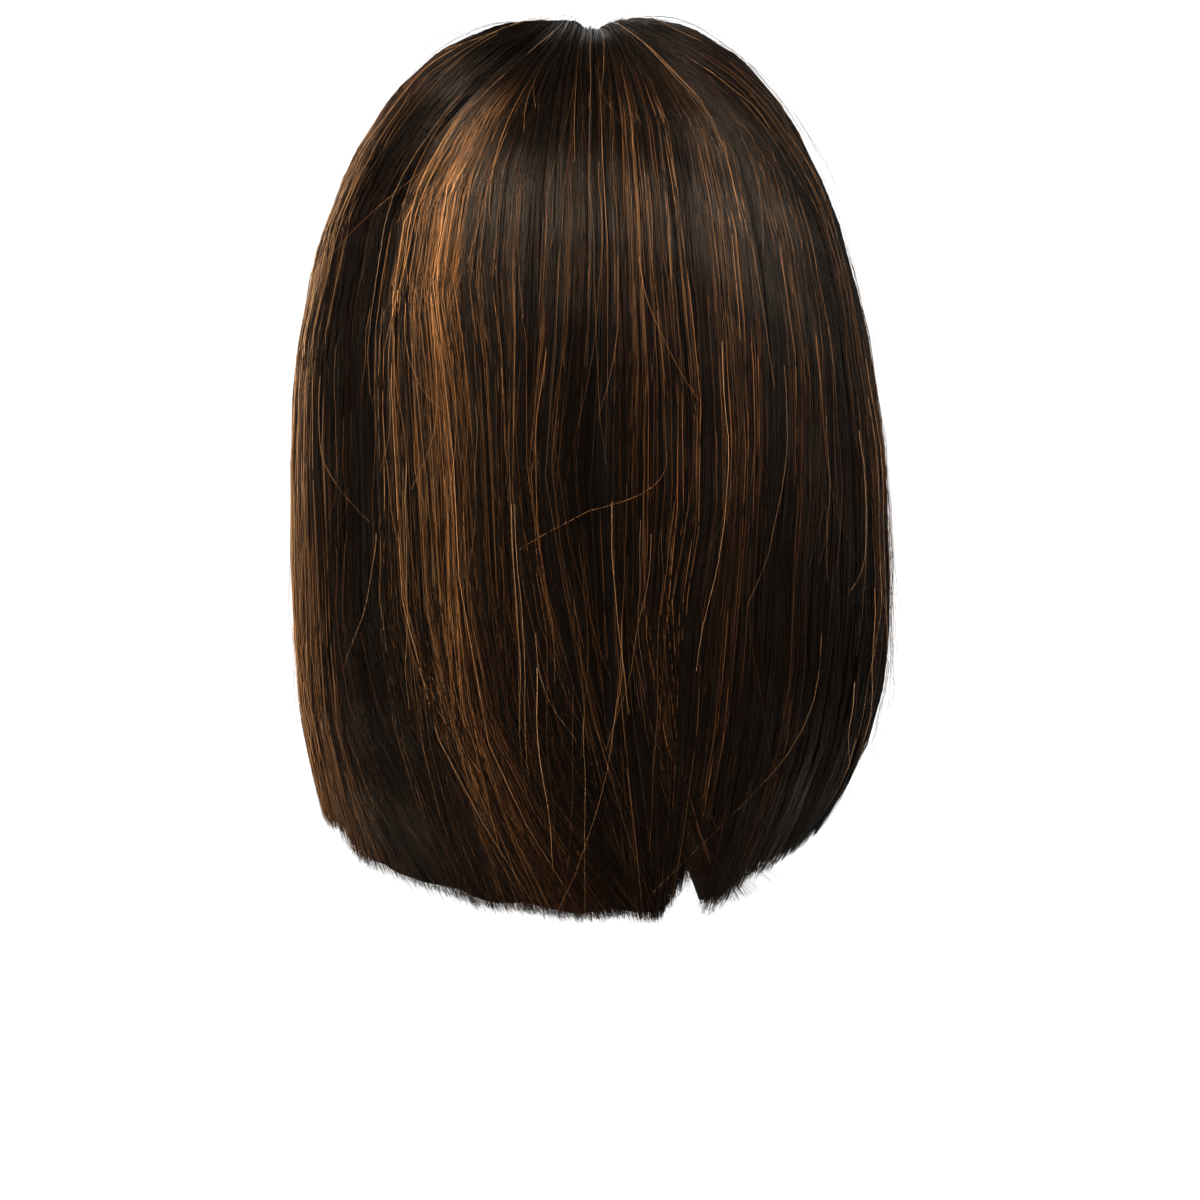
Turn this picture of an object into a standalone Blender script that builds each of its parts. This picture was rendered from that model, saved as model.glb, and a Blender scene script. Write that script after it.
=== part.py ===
"""Lace front wig in a shoulder-length bob with a middle part, in metres.

+Z is up and the face side looks along -Y. The origin is the inside of the cap at
the crown, where the wearer's head seats. The hair is built in seven tresses that
lie side by side round a wall-thin cap, and each tress is a fan of fused locks.
"""

import math
from collections import namedtuple

import bmesh
import bpy
from mathutils import Vector

# Driving dimensions of the head form that the cap is shaped on, in metres
HEAD_HALF_WIDTH = 0.076
HEAD_FRONT_DEPTH = 0.092
HEAD_BACK_DEPTH = 0.098
HEAD_DOME_HEIGHT = 0.095
HEAD_LOWER_DEPTH = 0.130

# Cap and lace
CAP_WALL = 0.0015
LACE_WALL = 0.0010
CAP_DEPTH = 0.162
SEAM_SETBACK = 0.008
SEAM_GAP = 0.0013
SEAM_END_SHARE = 0.985
SEAM_END_GAP = math.radians(0.6)

# Hair, as its full width and length and as volume that stands off the head form
HAIR_WIDTH = 0.240
BACK_VOLUME = 0.017
FACE_SETBACK = 0.008
HAIR_LENGTH = 0.360
CROWN_LIFT = 0.0200
FRONT_LIFT = 0.0080
ROOT_LIFT = 0.0040
HEM_THICKNESS = 0.009
HEM_BEVEL = 0.005
HAIR_GAP = 0.0014
TRESS_GAP = 0.0006
TRESS_TIP_GAP = 0.0024
MAX_NARROWING = 0.4

# Part line and crown
PART_HALF_GAP = 0.0006
PART_WIDTH = 0.013
CROWN_FAN = 0.0025
CROWN_ANGLE = math.radians(-11)
HAIRLINE_ANGLE = math.radians(58)

# Relief of the locks
LOCK_RELIEF = 0.0028
TRESS_RELIEF = 0.0040
RELIEF_START = 0.08
RELIEF_FULL = 0.88
TIP_CUT = 0.0040
TIP_VARIATION = 0.0014
TIP_WAVE_STEP = 2.4
LOCK_WANDER = 0.22
LOCK_WAVE_STEP = 2.6
TRESS_PHASE = 7.0

# Gap in the hem between the centre tress and the right back one
NOTCH_PLACE = -0.24
NOTCH_LEFT_SHARE = 0.080
NOTCH_RIGHT_SHARE = 0.030
NOTCH_CUT = 0.017

# How round the hair turns over the crown, and how late its ends tuck in
DOME_FULLNESS = 0.69
TUCK_POWER = 3.0
DOME_SHARE = 0.5

# The right side hangs a little lower and tucks in further at its ends
RIGHT_BULGE_DROP = 0.125
RIGHT_HEM_INSET = 0.105

# Mesh steps
COLUMNS_PER_LOCK = 4
DOME_TURNS = (0, 7, 16, 27, 38, 49, 61, 75, 90)
FALL_ROWS = 7
SEAM_COLUMNS = 14
SEAM_CROWDING = 1.9
CAP_BACK_COLUMNS = 24
CAP_ROWS = 9
LACE_ROWS = 8
SMOOTH_ANGLE = math.radians(50)
MERGE_DISTANCE = 1e-6

# Each meridian of the hair runs from the part line over its widest point to the hem.
# side: place round the head, 0 at the nape's middle and 1 at the face edge.
# part: share of the part line, 0 at the crown and 1 at the hairline.
# fan: place on the crown's small fan of roots, in shares of its radius.
# bulge and hem: out in shares of the half spread, along in shares of the back reach
# (or the front reach where negative), level in shares of the hair's length.
Meridian = namedtuple(
    "Meridian",
    "side part fan_out fan_back valley "
    "bulge_out bulge_along bulge_level hem_out hem_along hem_level",
)
MERIDIANS = (
    Meridian(0.00, 0.00, 0.00, 1.00, 0.85, 0.00, 1.00, 0.36, 0.00, 0.91, 0.998),
    Meridian(0.20, 0.00, 0.70, 0.72, 0.78, 0.42, 0.93, 0.38, 0.32, 0.86, 0.986),
    Meridian(0.40, 0.00, 0.98, 0.20, 0.80, 0.76, 0.68, 0.44, 0.64, 0.65, 0.960),
    Meridian(0.58, 0.14, 0.00, 0.00, 1.00, 0.95, 0.29, 0.50, 0.84, 0.29, 0.914),
    Meridian(0.75, 0.46, 0.00, 0.00, 1.00, 1.00, -0.15, 0.50, 0.89, -0.13, 0.880),
    Meridian(0.88, 0.78, 0.00, 0.00, 1.00, 0.87, -0.66, 0.47, 0.79, -0.60, 0.860),
    Meridian(1.00, 1.00, 0.00, 0.00, 1.00, 0.54, -0.98, 0.42, 0.51, -0.92, 0.850),
)

# Tresses from the left face edge round the back to the right one. Left is +X.
# start and end are places round the head, negative on the right side.
# The drops lengthen the tress at its two edges, in shares of the hair's length.
Tress = namedtuple("Tress", "name start end locks start_drop end_drop")
TRESSES = (
    Tress("left_face_tress", 1.00, 0.79, 3, 0.000, 0.004),
    Tress("left_side_tress", 0.79, 0.38, 5, 0.000, -0.004),
    Tress("back_left_tress", 0.38, 0.09, 4, 0.004, 0.000),
    Tress("back_centre_tress", 0.09, -0.24, 4, 0.000, 0.008),
    Tress("back_right_tress", -0.24, -0.42, 3, 0.021, -0.022),
    Tress("right_side_tress", -0.42, -0.79, 5, -0.009, -0.003),
    Tress("right_face_tress", -0.79, -1.00, 3, 0.000, 0.000),
)

# Lower edge of the cap and lace. angle is turned from the face side, and drop is in
# shares of the cap's depth.
EdgePoint = namedtuple("EdgePoint", "angle drop")
CAP_EDGE = (
    EdgePoint(0, 0.34),
    EdgePoint(35, 0.37),
    EdgePoint(58, 0.53),
    EdgePoint(75, 0.79),
    EdgePoint(95, 0.64),
    EdgePoint(115, 0.73),
    EdgePoint(145, 0.96),
    EdgePoint(180, 1.00),
)

# Sizes that follow from the ones above
HALF_SPREAD = HAIR_WIDTH / 2
BACK_REACH = HEAD_BACK_DEPTH + BACK_VOLUME
FRONT_REACH = HEAD_FRONT_DEPTH - FACE_SETBACK
CROWN_TOP = CAP_WALL + CROWN_LIFT

HAIR_COLOUR = (0.020, 0.012, 0.008)
HIGHLIGHT_COLOUR = (0.11, 0.045, 0.014)
CAP_COLOUR = (0.018, 0.014, 0.012)
LACE_COLOUR = (0.16, 0.095, 0.06)
HAIR_ROUGHNESS = 0.45
CLOTH_ROUGHNESS = 0.9


def smooth_through(knots, values, x):
    """The value at x of a smooth curve through the points (knots, values)."""
    last = len(knots) - 1
    x = min(max(x, knots[0]), knots[-1])
    i = max(k for k in range(last) if knots[k] <= x)
    slopes = []
    for k in (i, i + 1):
        low, high = max(k - 1, 0), min(k + 1, last)
        slopes.append((values[high] - values[low]) / (knots[high] - knots[low]))
    span = knots[i + 1] - knots[i]
    share = (x - knots[i]) / span
    rise = share * share * (3 - 2 * share)
    bend = share * (1 - share) * span
    level = values[i] + (values[i + 1] - values[i]) * rise
    return level + bend * ((1 - share) * slopes[0] - share * slopes[1])


def smooth_step(x):
    """Rises from 0 to 1 with level ends as x goes from 0 to 1."""
    x = min(max(x, 0.0), 1.0)
    return x * x * (3 - 2 * x)


def head_point(angle, polar, offset=0.0):
    """A point on the head form, moved outwards by offset.

    angle is turned from the face side, and polar is measured from the crown down.
    """
    depth = HEAD_FRONT_DEPTH if math.cos(angle) > 0 else HEAD_BACK_DEPTH
    height = HEAD_DOME_HEIGHT if polar < math.pi / 2 else HEAD_LOWER_DEPTH
    out = math.sin(polar)
    return Vector((
        (HEAD_HALF_WIDTH + offset) * out * math.sin(angle),
        -(depth + offset) * out * math.cos(angle),
        (height + offset) * math.cos(polar) - HEAD_DOME_HEIGHT,
    ))


def head_reach(direction, offset):
    """Length of a ray from the head's centre to the form moved outwards by offset."""
    depth = HEAD_FRONT_DEPTH if direction.y < 0 else HEAD_BACK_DEPTH
    scaled = Vector((
        direction.x / (HEAD_HALF_WIDTH + offset),
        direction.y / (depth + offset),
        direction.z / (HEAD_DOME_HEIGHT + offset),
    ))
    return 1 / scaled.length


def head_centre(point):
    """The place on the head's axis that faces the point: level with it below the dome."""
    return Vector((0, 0, min(point.z, -HEAD_DOME_HEIGHT)))


def meridian_at(side):
    """The meridian's shares at any place round the head; outward ones take its sign."""
    knots = [-row.side for row in reversed(MERIDIANS[1:])]
    knots += [row.side for row in MERIDIANS]
    shares = {}
    for field in Meridian._fields[1:]:
        sign = -1 if field.endswith("_out") else 1
        column = [sign * getattr(row, field) for row in reversed(MERIDIANS[1:])]
        column += [getattr(row, field) for row in MERIDIANS]
        shares[field] = smooth_through(knots, column, side)
    if side < 0:
        shares["bulge_level"] -= RIGHT_BULGE_DROP * shares["bulge_out"]
        shares["hem_out"] *= 1 - RIGHT_HEM_INSET
    return Meridian(side=side, **shares)


def plan_point(out, along, level):
    """A point of the hair's outer form from its three shares."""
    reach = BACK_REACH if along > 0 else FRONT_REACH
    return Vector((out * HALF_SPREAD, along * reach, CROWN_TOP - level * HAIR_LENGTH))


def part_frame(meridian, side):
    """The hair's crest above a meridian's root, the normal there and the lift."""
    share = min(max(meridian.part, 0.0), 1.0)
    polar = CROWN_ANGLE + share * (HAIRLINE_ANGLE - CROWN_ANGLE)
    lift = CROWN_LIFT + share * (FRONT_LIFT - CROWN_LIFT)
    on_cap = head_point(0, polar, CAP_WALL)
    normal = (head_point(0, polar, 2 * CAP_WALL) - on_cap).normalized()
    fan = Vector((meridian.fan_out * CROWN_FAN, meridian.fan_back * CROWN_FAN, 0))
    gap = Vector((math.copysign(PART_HALF_GAP, side), 0, 0))
    return on_cap + normal * lift + fan + gap, normal, lift


def outer_point(side, share, extra_fall=0.0):
    """A point on the hair's outer form; share runs from the root (0) to the tip (1)."""
    meridian = meridian_at(side)
    crest, normal, lift = part_frame(meridian, side)
    bulge = plan_point(meridian.bulge_out, meridian.bulge_along, meridian.bulge_level)
    hem = plan_point(meridian.hem_out, meridian.hem_along, meridian.hem_level)
    if share < DOME_SHARE:
        turn = math.pi / 2 * share / DOME_SHARE
        point = crest.lerp(bulge, math.sin(turn) ** DOME_FULLNESS)
        point.z = bulge.z + (crest.z - bulge.z) * math.cos(turn)
    else:
        fall = (share - DOME_SHARE) / (1 - DOME_SHARE)
        point = bulge.lerp(hem, fall**TUCK_POWER)
        point.z = bulge.z + (hem.z - extra_fall - bulge.z) * fall
    away = (point - crest).to_2d().length / PART_WIDTH
    valley = (lift - ROOT_LIFT) * meridian.valley * math.exp(-away * away)
    return point - normal * valley


def inner_point(side, share, extra_fall=0.0):
    """The point of the hair's inner face behind outer_point: on the cap, then free."""
    outer = outer_point(side, share, extra_fall)
    centre = head_centre(outer)
    direction = (outer - centre).normalized()
    on_cap = head_reach(direction, CAP_WALL + HAIR_GAP)
    if centre.z > outer.z - 1e-9 and outer.z < -HEAD_DOME_HEIGHT:
        hem_z = outer_point(side, 1, extra_fall).z
        below = (-HEAD_DOME_HEIGHT - outer.z) / (-HEAD_DOME_HEIGHT - hem_z)
        held = (outer - centre).length - on_cap
        thickness = held + (HEM_THICKNESS - held) * smooth_step(below)
        return outer - direction * thickness
    return centre + direction * on_cap


def lock_edges(tress):
    """Places across a tress where one lock ends and the next begins."""
    edges = [k / tress.locks for k in range(tress.locks + 1)]
    for k in range(1, tress.locks):
        edges[k] += LOCK_WANDER / tress.locks * math.sin(LOCK_WAVE_STEP * k + TRESS_PHASE * tress.start)
    return edges


def tip_fall(tress, place, side, groove):
    """How much further than the meridians' hem a tress falls at a place across it."""
    drop = tress.start_drop + (tress.end_drop - tress.start_drop) * place
    wander = math.sin(TIP_WAVE_STEP * place * tress.locks + TRESS_PHASE * tress.start)
    reach = NOTCH_LEFT_SHARE if side > NOTCH_PLACE else NOTCH_RIGHT_SHARE
    notch = max(0.0, 1 - abs(side - NOTCH_PLACE) / reach)
    cut = TIP_CUT * groove + NOTCH_CUT * notch
    return drop * HAIR_LENGTH + TIP_VARIATION * wander - cut


def row_shares():
    """Places along a meridian where the mesh has rows, closer over the crown."""
    dome = [DOME_SHARE * turn / 90 for turn in DOME_TURNS]
    fall = [DOME_SHARE + (1 - DOME_SHARE) * (i + 1) / FALL_ROWS for i in range(FALL_ROWS)]
    return dome + fall


def tress_grids(tress):
    """Outer and inner points of a tress, as rows of columns."""
    columns = tress.locks * COLUMNS_PER_LOCK
    edges = lock_edges(tress)
    inner_share = 1 - HEM_BEVEL / HAIR_LENGTH
    outer, inner = [], []
    for share in row_shares():
        outer_row, inner_row = [], []
        rise = smooth_step((share - RELIEF_START) / (RELIEF_FULL - RELIEF_START))
        for column in range(columns + 1):
            lock, step = divmod(column, COLUMNS_PER_LOCK)
            across = step / COLUMNS_PER_LOCK
            place = edges[lock]
            if step:
                place += (edges[lock + 1] - edges[lock]) * across
            side = tress.start + (tress.end - tress.start) * place
            groove = 1 - math.sin(math.pi * across)
            at_edge = column in (0, columns)
            relief = (TRESS_RELIEF if at_edge else LOCK_RELIEF) * groove
            extra = tip_fall(tress, place, side, groove)
            point = outer_point(side, share, extra)
            outwards = (point - head_centre(point)).normalized()
            outer_row.append(point - outwards * relief * rise)
            inner_row.append(inner_point(side, share * inner_share, extra))
        gap = TRESS_GAP + (TRESS_TIP_GAP - TRESS_GAP) * share * share
        for row in (outer_row, inner_row):
            narrow_row(row, gap)
        outer.append(outer_row)
        inner.append(inner_row)
    return outer, inner


def narrow_row(row, gap):
    """Draws a row's two ends inwards, so that neighbouring tresses keep their gap."""
    for end, following in ((0, 1), (-1, -2)):
        step = row[following] - row[end]
        row[end] = row[end] + step * min(gap / 2 / step.length, MAX_NARROWING)


def shell_between(name, outer, inner, material):
    """A closed solid between two grids of points of the same size."""
    mesh = bmesh.new()
    layers = [[[mesh.verts.new(p) for p in row] for row in grid] for grid in (outer, inner)]
    front, back = layers
    rows, columns = len(front), len(front[0])
    for i in range(rows - 1):
        for j in range(columns - 1):
            mesh.faces.new((front[i][j], front[i + 1][j], front[i + 1][j + 1], front[i][j + 1]))
            mesh.faces.new((back[i][j], back[i][j + 1], back[i + 1][j + 1], back[i + 1][j]))
    for j in range(columns - 1):
        mesh.faces.new((front[0][j], front[0][j + 1], back[0][j + 1], back[0][j]))
        mesh.faces.new((front[-1][j + 1], front[-1][j], back[-1][j], back[-1][j + 1]))
    for i in range(rows - 1):
        for j in (0, columns - 1):
            mesh.faces.new((front[i][j], front[i + 1][j], back[i][j]))
            mesh.faces.new((front[i + 1][j], back[i + 1][j], back[i][j]))
    bmesh.ops.recalc_face_normals(mesh, faces=mesh.faces)
    bmesh.ops.triangulate(mesh, faces=mesh.faces)
    return finish_object(name, mesh, material)


def finish_object(name, mesh, material):
    """Links a bmesh to the wig's collection as a smooth-shaded object."""
    data = bpy.data.meshes.new(name)
    mesh.to_mesh(data)
    mesh.free()
    data.materials.append(material)
    data.shade_smooth()
    data.set_sharp_from_angle(angle=SMOOTH_ANGLE)
    obj = bpy.data.objects.new(name, data)
    bpy.data.collections["lace_front_wig"].objects.link(obj)
    return obj


def plain_material(name, colour, roughness):
    """A Principled material of one colour."""
    material = bpy.data.materials.new(name)
    material.use_nodes = True
    shader = material.node_tree.nodes["Principled BSDF"]
    shader.inputs["Base Color"].default_value = (*colour, 1)
    shader.inputs["Roughness"].default_value = roughness
    shader.inputs["Metallic"].default_value = 0
    return material


def edge_polar(angle):
    """Polar angle of the cap's lower edge at a turn from the face side."""
    degrees = math.degrees(min(angle % (2 * math.pi), -angle % (2 * math.pi)))
    drop = smooth_through([p.angle for p in CAP_EDGE], [p.drop for p in CAP_EDGE], degrees)
    height = HEAD_DOME_HEIGHT - drop * CAP_DEPTH
    reach = HEAD_DOME_HEIGHT if height > 0 else HEAD_LOWER_DEPTH
    return math.acos(height / reach)


def seam_polar(angle, setback):
    """Polar angle where a cut straight over the head, at a setback, crosses an angle."""
    return math.asin(setback / (HEAD_FRONT_DEPTH * math.cos(angle)))


def seam_angles(setback):
    """Angles of the columns that cross a cut at a setback, close at the forehead."""
    angles = []
    for j in range(-SEAM_COLUMNS, SEAM_COLUMNS + 1):
        share = SEAM_END_SHARE * (abs(j) / SEAM_COLUMNS) ** SEAM_CROWDING
        angles.append(math.copysign(math.atan(share * HEAD_FRONT_DEPTH / setback), j))
    return angles


def wall_from(name, columns, closed, wall, material):
    """A wall of even thickness outside an open grid on the head form."""
    mesh = bmesh.new()
    verts = [[mesh.verts.new(p) for p in column] for column in columns]
    count = len(verts)
    for j in range(count if closed else count - 1):
        left, right = verts[j], verts[(j + 1) % count]
        for i in range(len(left) - 1):
            mesh.faces.new((left[i], left[i + 1], right[i + 1], right[i]))
    bmesh.ops.remove_doubles(mesh, verts=mesh.verts, dist=MERGE_DISTANCE)
    obj = finish_object(name, mesh, material)
    shell = obj.modifiers.new("wall", "SOLIDIFY")
    shell.thickness = wall
    shell.offset = 1
    return obj


def head_column(angle, first, last, rows):
    """Points down the head form at one angle, from one polar angle to another."""
    return [head_point(angle, first + (last - first) * i / rows) for i in range(rows + 1)]


def build_cap(material):
    """The cap from the crown to the straight lace seam in front and the edge behind."""
    columns = []
    for angle in seam_angles(SEAM_SETBACK):
        columns.append(head_column(angle, 0, seam_polar(angle, SEAM_SETBACK), CAP_ROWS))
    first = angle + SEAM_END_GAP
    for j in range(CAP_BACK_COLUMNS + 1):
        angle = first + (2 * math.pi - 2 * first) * j / CAP_BACK_COLUMNS
        columns.append(head_column(angle, 0, edge_polar(angle), CAP_ROWS))
    return wall_from("cap", columns, True, CAP_WALL, material)


def build_lace(material):
    """The lace from the seam over the head to the front hairline and the ear tabs."""
    columns = []
    setback = SEAM_SETBACK + SEAM_GAP
    for angle in seam_angles(setback):
        first = seam_polar(angle, setback)
        columns.append(head_column(angle, first, edge_polar(angle), LACE_ROWS))
    return wall_from("lace_front", columns, False, LACE_WALL, material)


def main():
    """Clears the scene and builds the wig."""
    for obj in list(bpy.data.objects):
        bpy.data.objects.remove(obj)
    collection = bpy.data.collections.new("lace_front_wig")
    bpy.context.scene.collection.children.link(collection)
    build_cap(plain_material("cap_net", CAP_COLOUR, CLOTH_ROUGHNESS))
    build_lace(plain_material("front_lace", LACE_COLOUR, CLOTH_ROUGHNESS))
    dark = plain_material("dark_hair", HAIR_COLOUR, HAIR_ROUGHNESS)
    lit = plain_material("highlighted_hair", HIGHLIGHT_COLOUR, HAIR_ROUGHNESS)
    for tress in TRESSES:
        outer, inner = tress_grids(tress)
        colour = lit if tress.name == "back_left_tress" else dark
        shell_between(tress.name, outer, inner, colour)


main()
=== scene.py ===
"""The looks of a lace front bob wig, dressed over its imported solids.

+Z is up, the face side looks along -Y and the wearer's left is +X, all in metres.
Every tress is a dark under coat of the solid's own form with single hairs laid over
it, and between its two faces near the tips. The hairs are swept by one Geometry Nodes
tree along centre lines that follow the same form.

A place round the head is 0 at the middle of the back, 1 at the left face edge and -1
at the right one. A share of the fall is 0 at a hair's root and 1 at its tip.
"""

import logging
import math
from dataclasses import dataclass, field, fields
from enum import Enum, IntEnum
from typing import Any, NamedTuple, Sequence

import bpy
import numpy as np
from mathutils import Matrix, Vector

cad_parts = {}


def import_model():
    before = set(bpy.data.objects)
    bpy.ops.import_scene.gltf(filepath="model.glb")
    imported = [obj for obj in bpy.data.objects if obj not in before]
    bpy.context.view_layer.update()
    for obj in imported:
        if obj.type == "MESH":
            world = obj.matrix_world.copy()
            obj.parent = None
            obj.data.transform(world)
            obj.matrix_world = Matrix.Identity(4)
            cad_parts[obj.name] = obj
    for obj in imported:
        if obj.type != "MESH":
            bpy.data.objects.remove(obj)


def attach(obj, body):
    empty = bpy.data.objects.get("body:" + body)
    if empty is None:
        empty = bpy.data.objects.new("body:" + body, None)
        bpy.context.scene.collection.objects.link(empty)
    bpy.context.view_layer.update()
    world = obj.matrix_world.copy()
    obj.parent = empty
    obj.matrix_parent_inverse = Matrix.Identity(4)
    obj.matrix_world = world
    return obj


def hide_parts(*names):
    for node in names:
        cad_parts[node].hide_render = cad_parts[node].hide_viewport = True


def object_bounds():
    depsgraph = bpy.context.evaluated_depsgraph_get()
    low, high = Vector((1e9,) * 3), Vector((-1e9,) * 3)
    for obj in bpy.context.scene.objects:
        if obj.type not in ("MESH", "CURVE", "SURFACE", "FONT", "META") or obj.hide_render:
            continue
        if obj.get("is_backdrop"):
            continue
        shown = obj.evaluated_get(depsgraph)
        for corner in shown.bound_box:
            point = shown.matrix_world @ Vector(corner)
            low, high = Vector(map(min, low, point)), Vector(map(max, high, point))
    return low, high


LOG = logging.getLogger("wig")
Triple = tuple[float, float, float]
Colour = Triple
Span = tuple[float, float]
Socketish = Any

BODY = "root"
SEED = 2014

# Numbers of the Mix node's colour sockets
MIX_SHARE, MIX_FIRST, MIX_SECOND, MIX_RESULT = 0, 6, 7, 2


class Finish(Enum):
    """Two of the record's material slots, for dark and for highlighted hair."""

    DARK_HAIR = "dark_hair"
    HIGHLIGHTED_HAIR = "highlighted_hair"


# Shader and Geometry Nodes expressions


class Wire:
    """A node socket that can stand in a Python expression.

    Args:
        bench: where new Math nodes are added.
        socket: the output socket.
    """

    def __init__(self, bench: "NodeBench", socket: bpy.types.NodeSocket) -> None:
        """Keeps the bench and the socket."""
        self.bench = bench
        self.socket = socket

    def _math(self, operation: str, *terms: Socketish, clamp: bool = False) -> "Wire":
        """Adds one Math node.

        Args:
            operation: the Math node's operation.
            terms: its inputs in order.
            clamp: keeps the result between 0 and 1.

        Returns:
            The node's output.
        """
        settings = {"operation": operation, "use_clamp": clamp}
        return self.bench.add("ShaderNodeMath", settings, dict(enumerate(terms)))

    def __add__(self, other: Socketish) -> "Wire":
        """Sum."""
        return self._math("ADD", self, other)

    def __radd__(self, other: Socketish) -> "Wire":
        """Sum, reflected."""
        return self._math("ADD", other, self)

    def __sub__(self, other: Socketish) -> "Wire":
        """Difference."""
        return self._math("SUBTRACT", self, other)

    def __rsub__(self, other: Socketish) -> "Wire":
        """Difference, reflected."""
        return self._math("SUBTRACT", other, self)

    def __mul__(self, other: Socketish) -> "Wire":
        """Product."""
        return self._math("MULTIPLY", self, other)

    def __rmul__(self, other: Socketish) -> "Wire":
        """Product, reflected."""
        return self._math("MULTIPLY", other, self)

    def __truediv__(self, other: Socketish) -> "Wire":
        """Quotient."""
        return self._math("DIVIDE", self, other)

    def __rtruediv__(self, other: Socketish) -> "Wire":
        """Quotient, reflected."""
        return self._math("DIVIDE", other, self)

    def clamped(self) -> "Wire":
        """The value kept between 0 and 1."""
        return self._math("ADD", self, 0.0, clamp=True)

    def wave(self) -> "Wire":
        """The sine of the value."""
        return self._math("SINE", self)

    def ramp(self, low: float, high: float) -> "Wire":
        """The value's smooth rise from 0 at low to 1 at high."""
        settings = {"interpolation_type": "SMOOTHSTEP"}
        return self.bench.add("ShaderNodeMapRange", settings, {0: self, 1: low, 2: high})


class NodeBench:
    """Adds nodes to one tree and links them."""

    def __init__(self, tree: bpy.types.NodeTree) -> None:
        """Keeps the tree."""
        self.tree = tree

    def fill(self, node: bpy.types.Node, inputs: dict[Any, Socketish]) -> None:
        """Sets or links a node's inputs.

        Args:
            node: the node.
            inputs: socket name or number to a value, a socket or a Wire.
        """
        for key, value in inputs.items():
            source = value.socket if isinstance(value, Wire) else value
            if isinstance(source, bpy.types.NodeSocket):
                self.tree.links.new(source, node.inputs[key])
            else:
                node.inputs[key].default_value = source

    def node(
        self,
        kind: str,
        settings: dict[str, Any] | None = None,
        inputs: dict[Any, Socketish] | None = None,
    ) -> bpy.types.Node:
        """Adds one node.

        Args:
            kind: the node's type.
            settings: attributes of the node, set before its sockets.
            inputs: values or links of its sockets.

        Returns:
            The node.
        """
        node = self.tree.nodes.new(kind)
        for name, value in (settings or {}).items():
            setattr(node, name, value)
        self.fill(node, inputs or {})
        return node

    def add(
        self,
        kind: str,
        settings: dict[str, Any] | None = None,
        inputs: dict[Any, Socketish] | None = None,
        output: str | int = 0,
    ) -> Wire:
        """Adds one node and gives one of its outputs as a Wire.

        Args:
            kind: the node's type.
            settings: attributes of the node.
            inputs: values or links of its sockets.
            output: the output's name or number.

        Returns:
            The output.
        """
        return Wire(self, self.node(kind, settings, inputs).outputs[output])

    def attribute(self, name: str) -> Wire:
        """A number that the mesh carries at its points, for shaders."""
        settings = {"attribute_type": "GEOMETRY", "attribute_name": name}
        return self.add("ShaderNodeAttribute", settings, output="Fac")

    def named(self, name: str, kind: str = "FLOAT") -> Wire:
        """A value that the mesh carries at its points, for Geometry Nodes."""
        return self.add("GeometryNodeInputNamedAttribute", {"data_type": kind}, {"Name": name})

    def axis(self, vector: Wire, name: str) -> Wire:
        """A vector's X, Y or Z."""
        return self.add("ShaderNodeSeparateXYZ", None, {0: vector}, name)

    def scaled(self, vector: Wire, factor: Socketish) -> Wire:
        """A vector times a number."""
        inputs = {0: vector, "Scale": factor}
        return self.add("ShaderNodeVectorMath", {"operation": "SCALE"}, inputs)

    def colour_mix(self, share: Socketish, first: Socketish, second: Socketish) -> Wire:
        """Mixes two colours.

        Args:
            share: 0 for the first colour and 1 for the second.
            first: a colour or a Wire.
            second: a colour or a Wire.

        Returns:
            The mixed colour.
        """
        inputs = {MIX_SHARE: share}
        for socket, value in ((MIX_FIRST, first), (MIX_SECOND, second)):
            inputs[socket] = value if isinstance(value, Wire) else (*value, 1.0)
        return self.add("ShaderNodeMix", {"data_type": "RGBA"}, inputs, MIX_RESULT)

    def streaks(self, place: Wire, cells: Sequence[float], detail: float) -> Wire:
        """A noise value whose cells are stretched.

        Args:
            place: the coordinates.
            cells: cells for each unit of the coordinates, along each axis.
            detail: octaves.

        Returns:
            A value round 0.5.
        """
        inputs = {"Vector": place, "Scale": tuple(cells)}
        stretched = self.add("ShaderNodeMapping", None, inputs)
        inputs = {"Vector": stretched, "Scale": 1.0, "Detail": detail}
        return self.add("ShaderNodeTexNoise", None, inputs, "Fac")

    def bump(self, height: Wire, strength: float, distance: float) -> Wire:
        """The normal of a surface that is raised by up to distance in metres."""
        inputs = {"Height": height, "Strength": strength, "Distance": distance}
        return self.add("ShaderNodeBump", None, inputs)


def new_material(name: str) -> tuple[bpy.types.Material, NodeBench, bpy.types.Node]:
    """Makes an empty node material with a Principled shader.

    Args:
        name: the material's name.

    Returns:
        The material, its bench and its Principled node.
    """
    material = bpy.data.materials.new(name)
    material.use_nodes = True
    shader = material.node_tree.nodes["Principled BSDF"]
    return material, NodeBench(material.node_tree), shader


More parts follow.
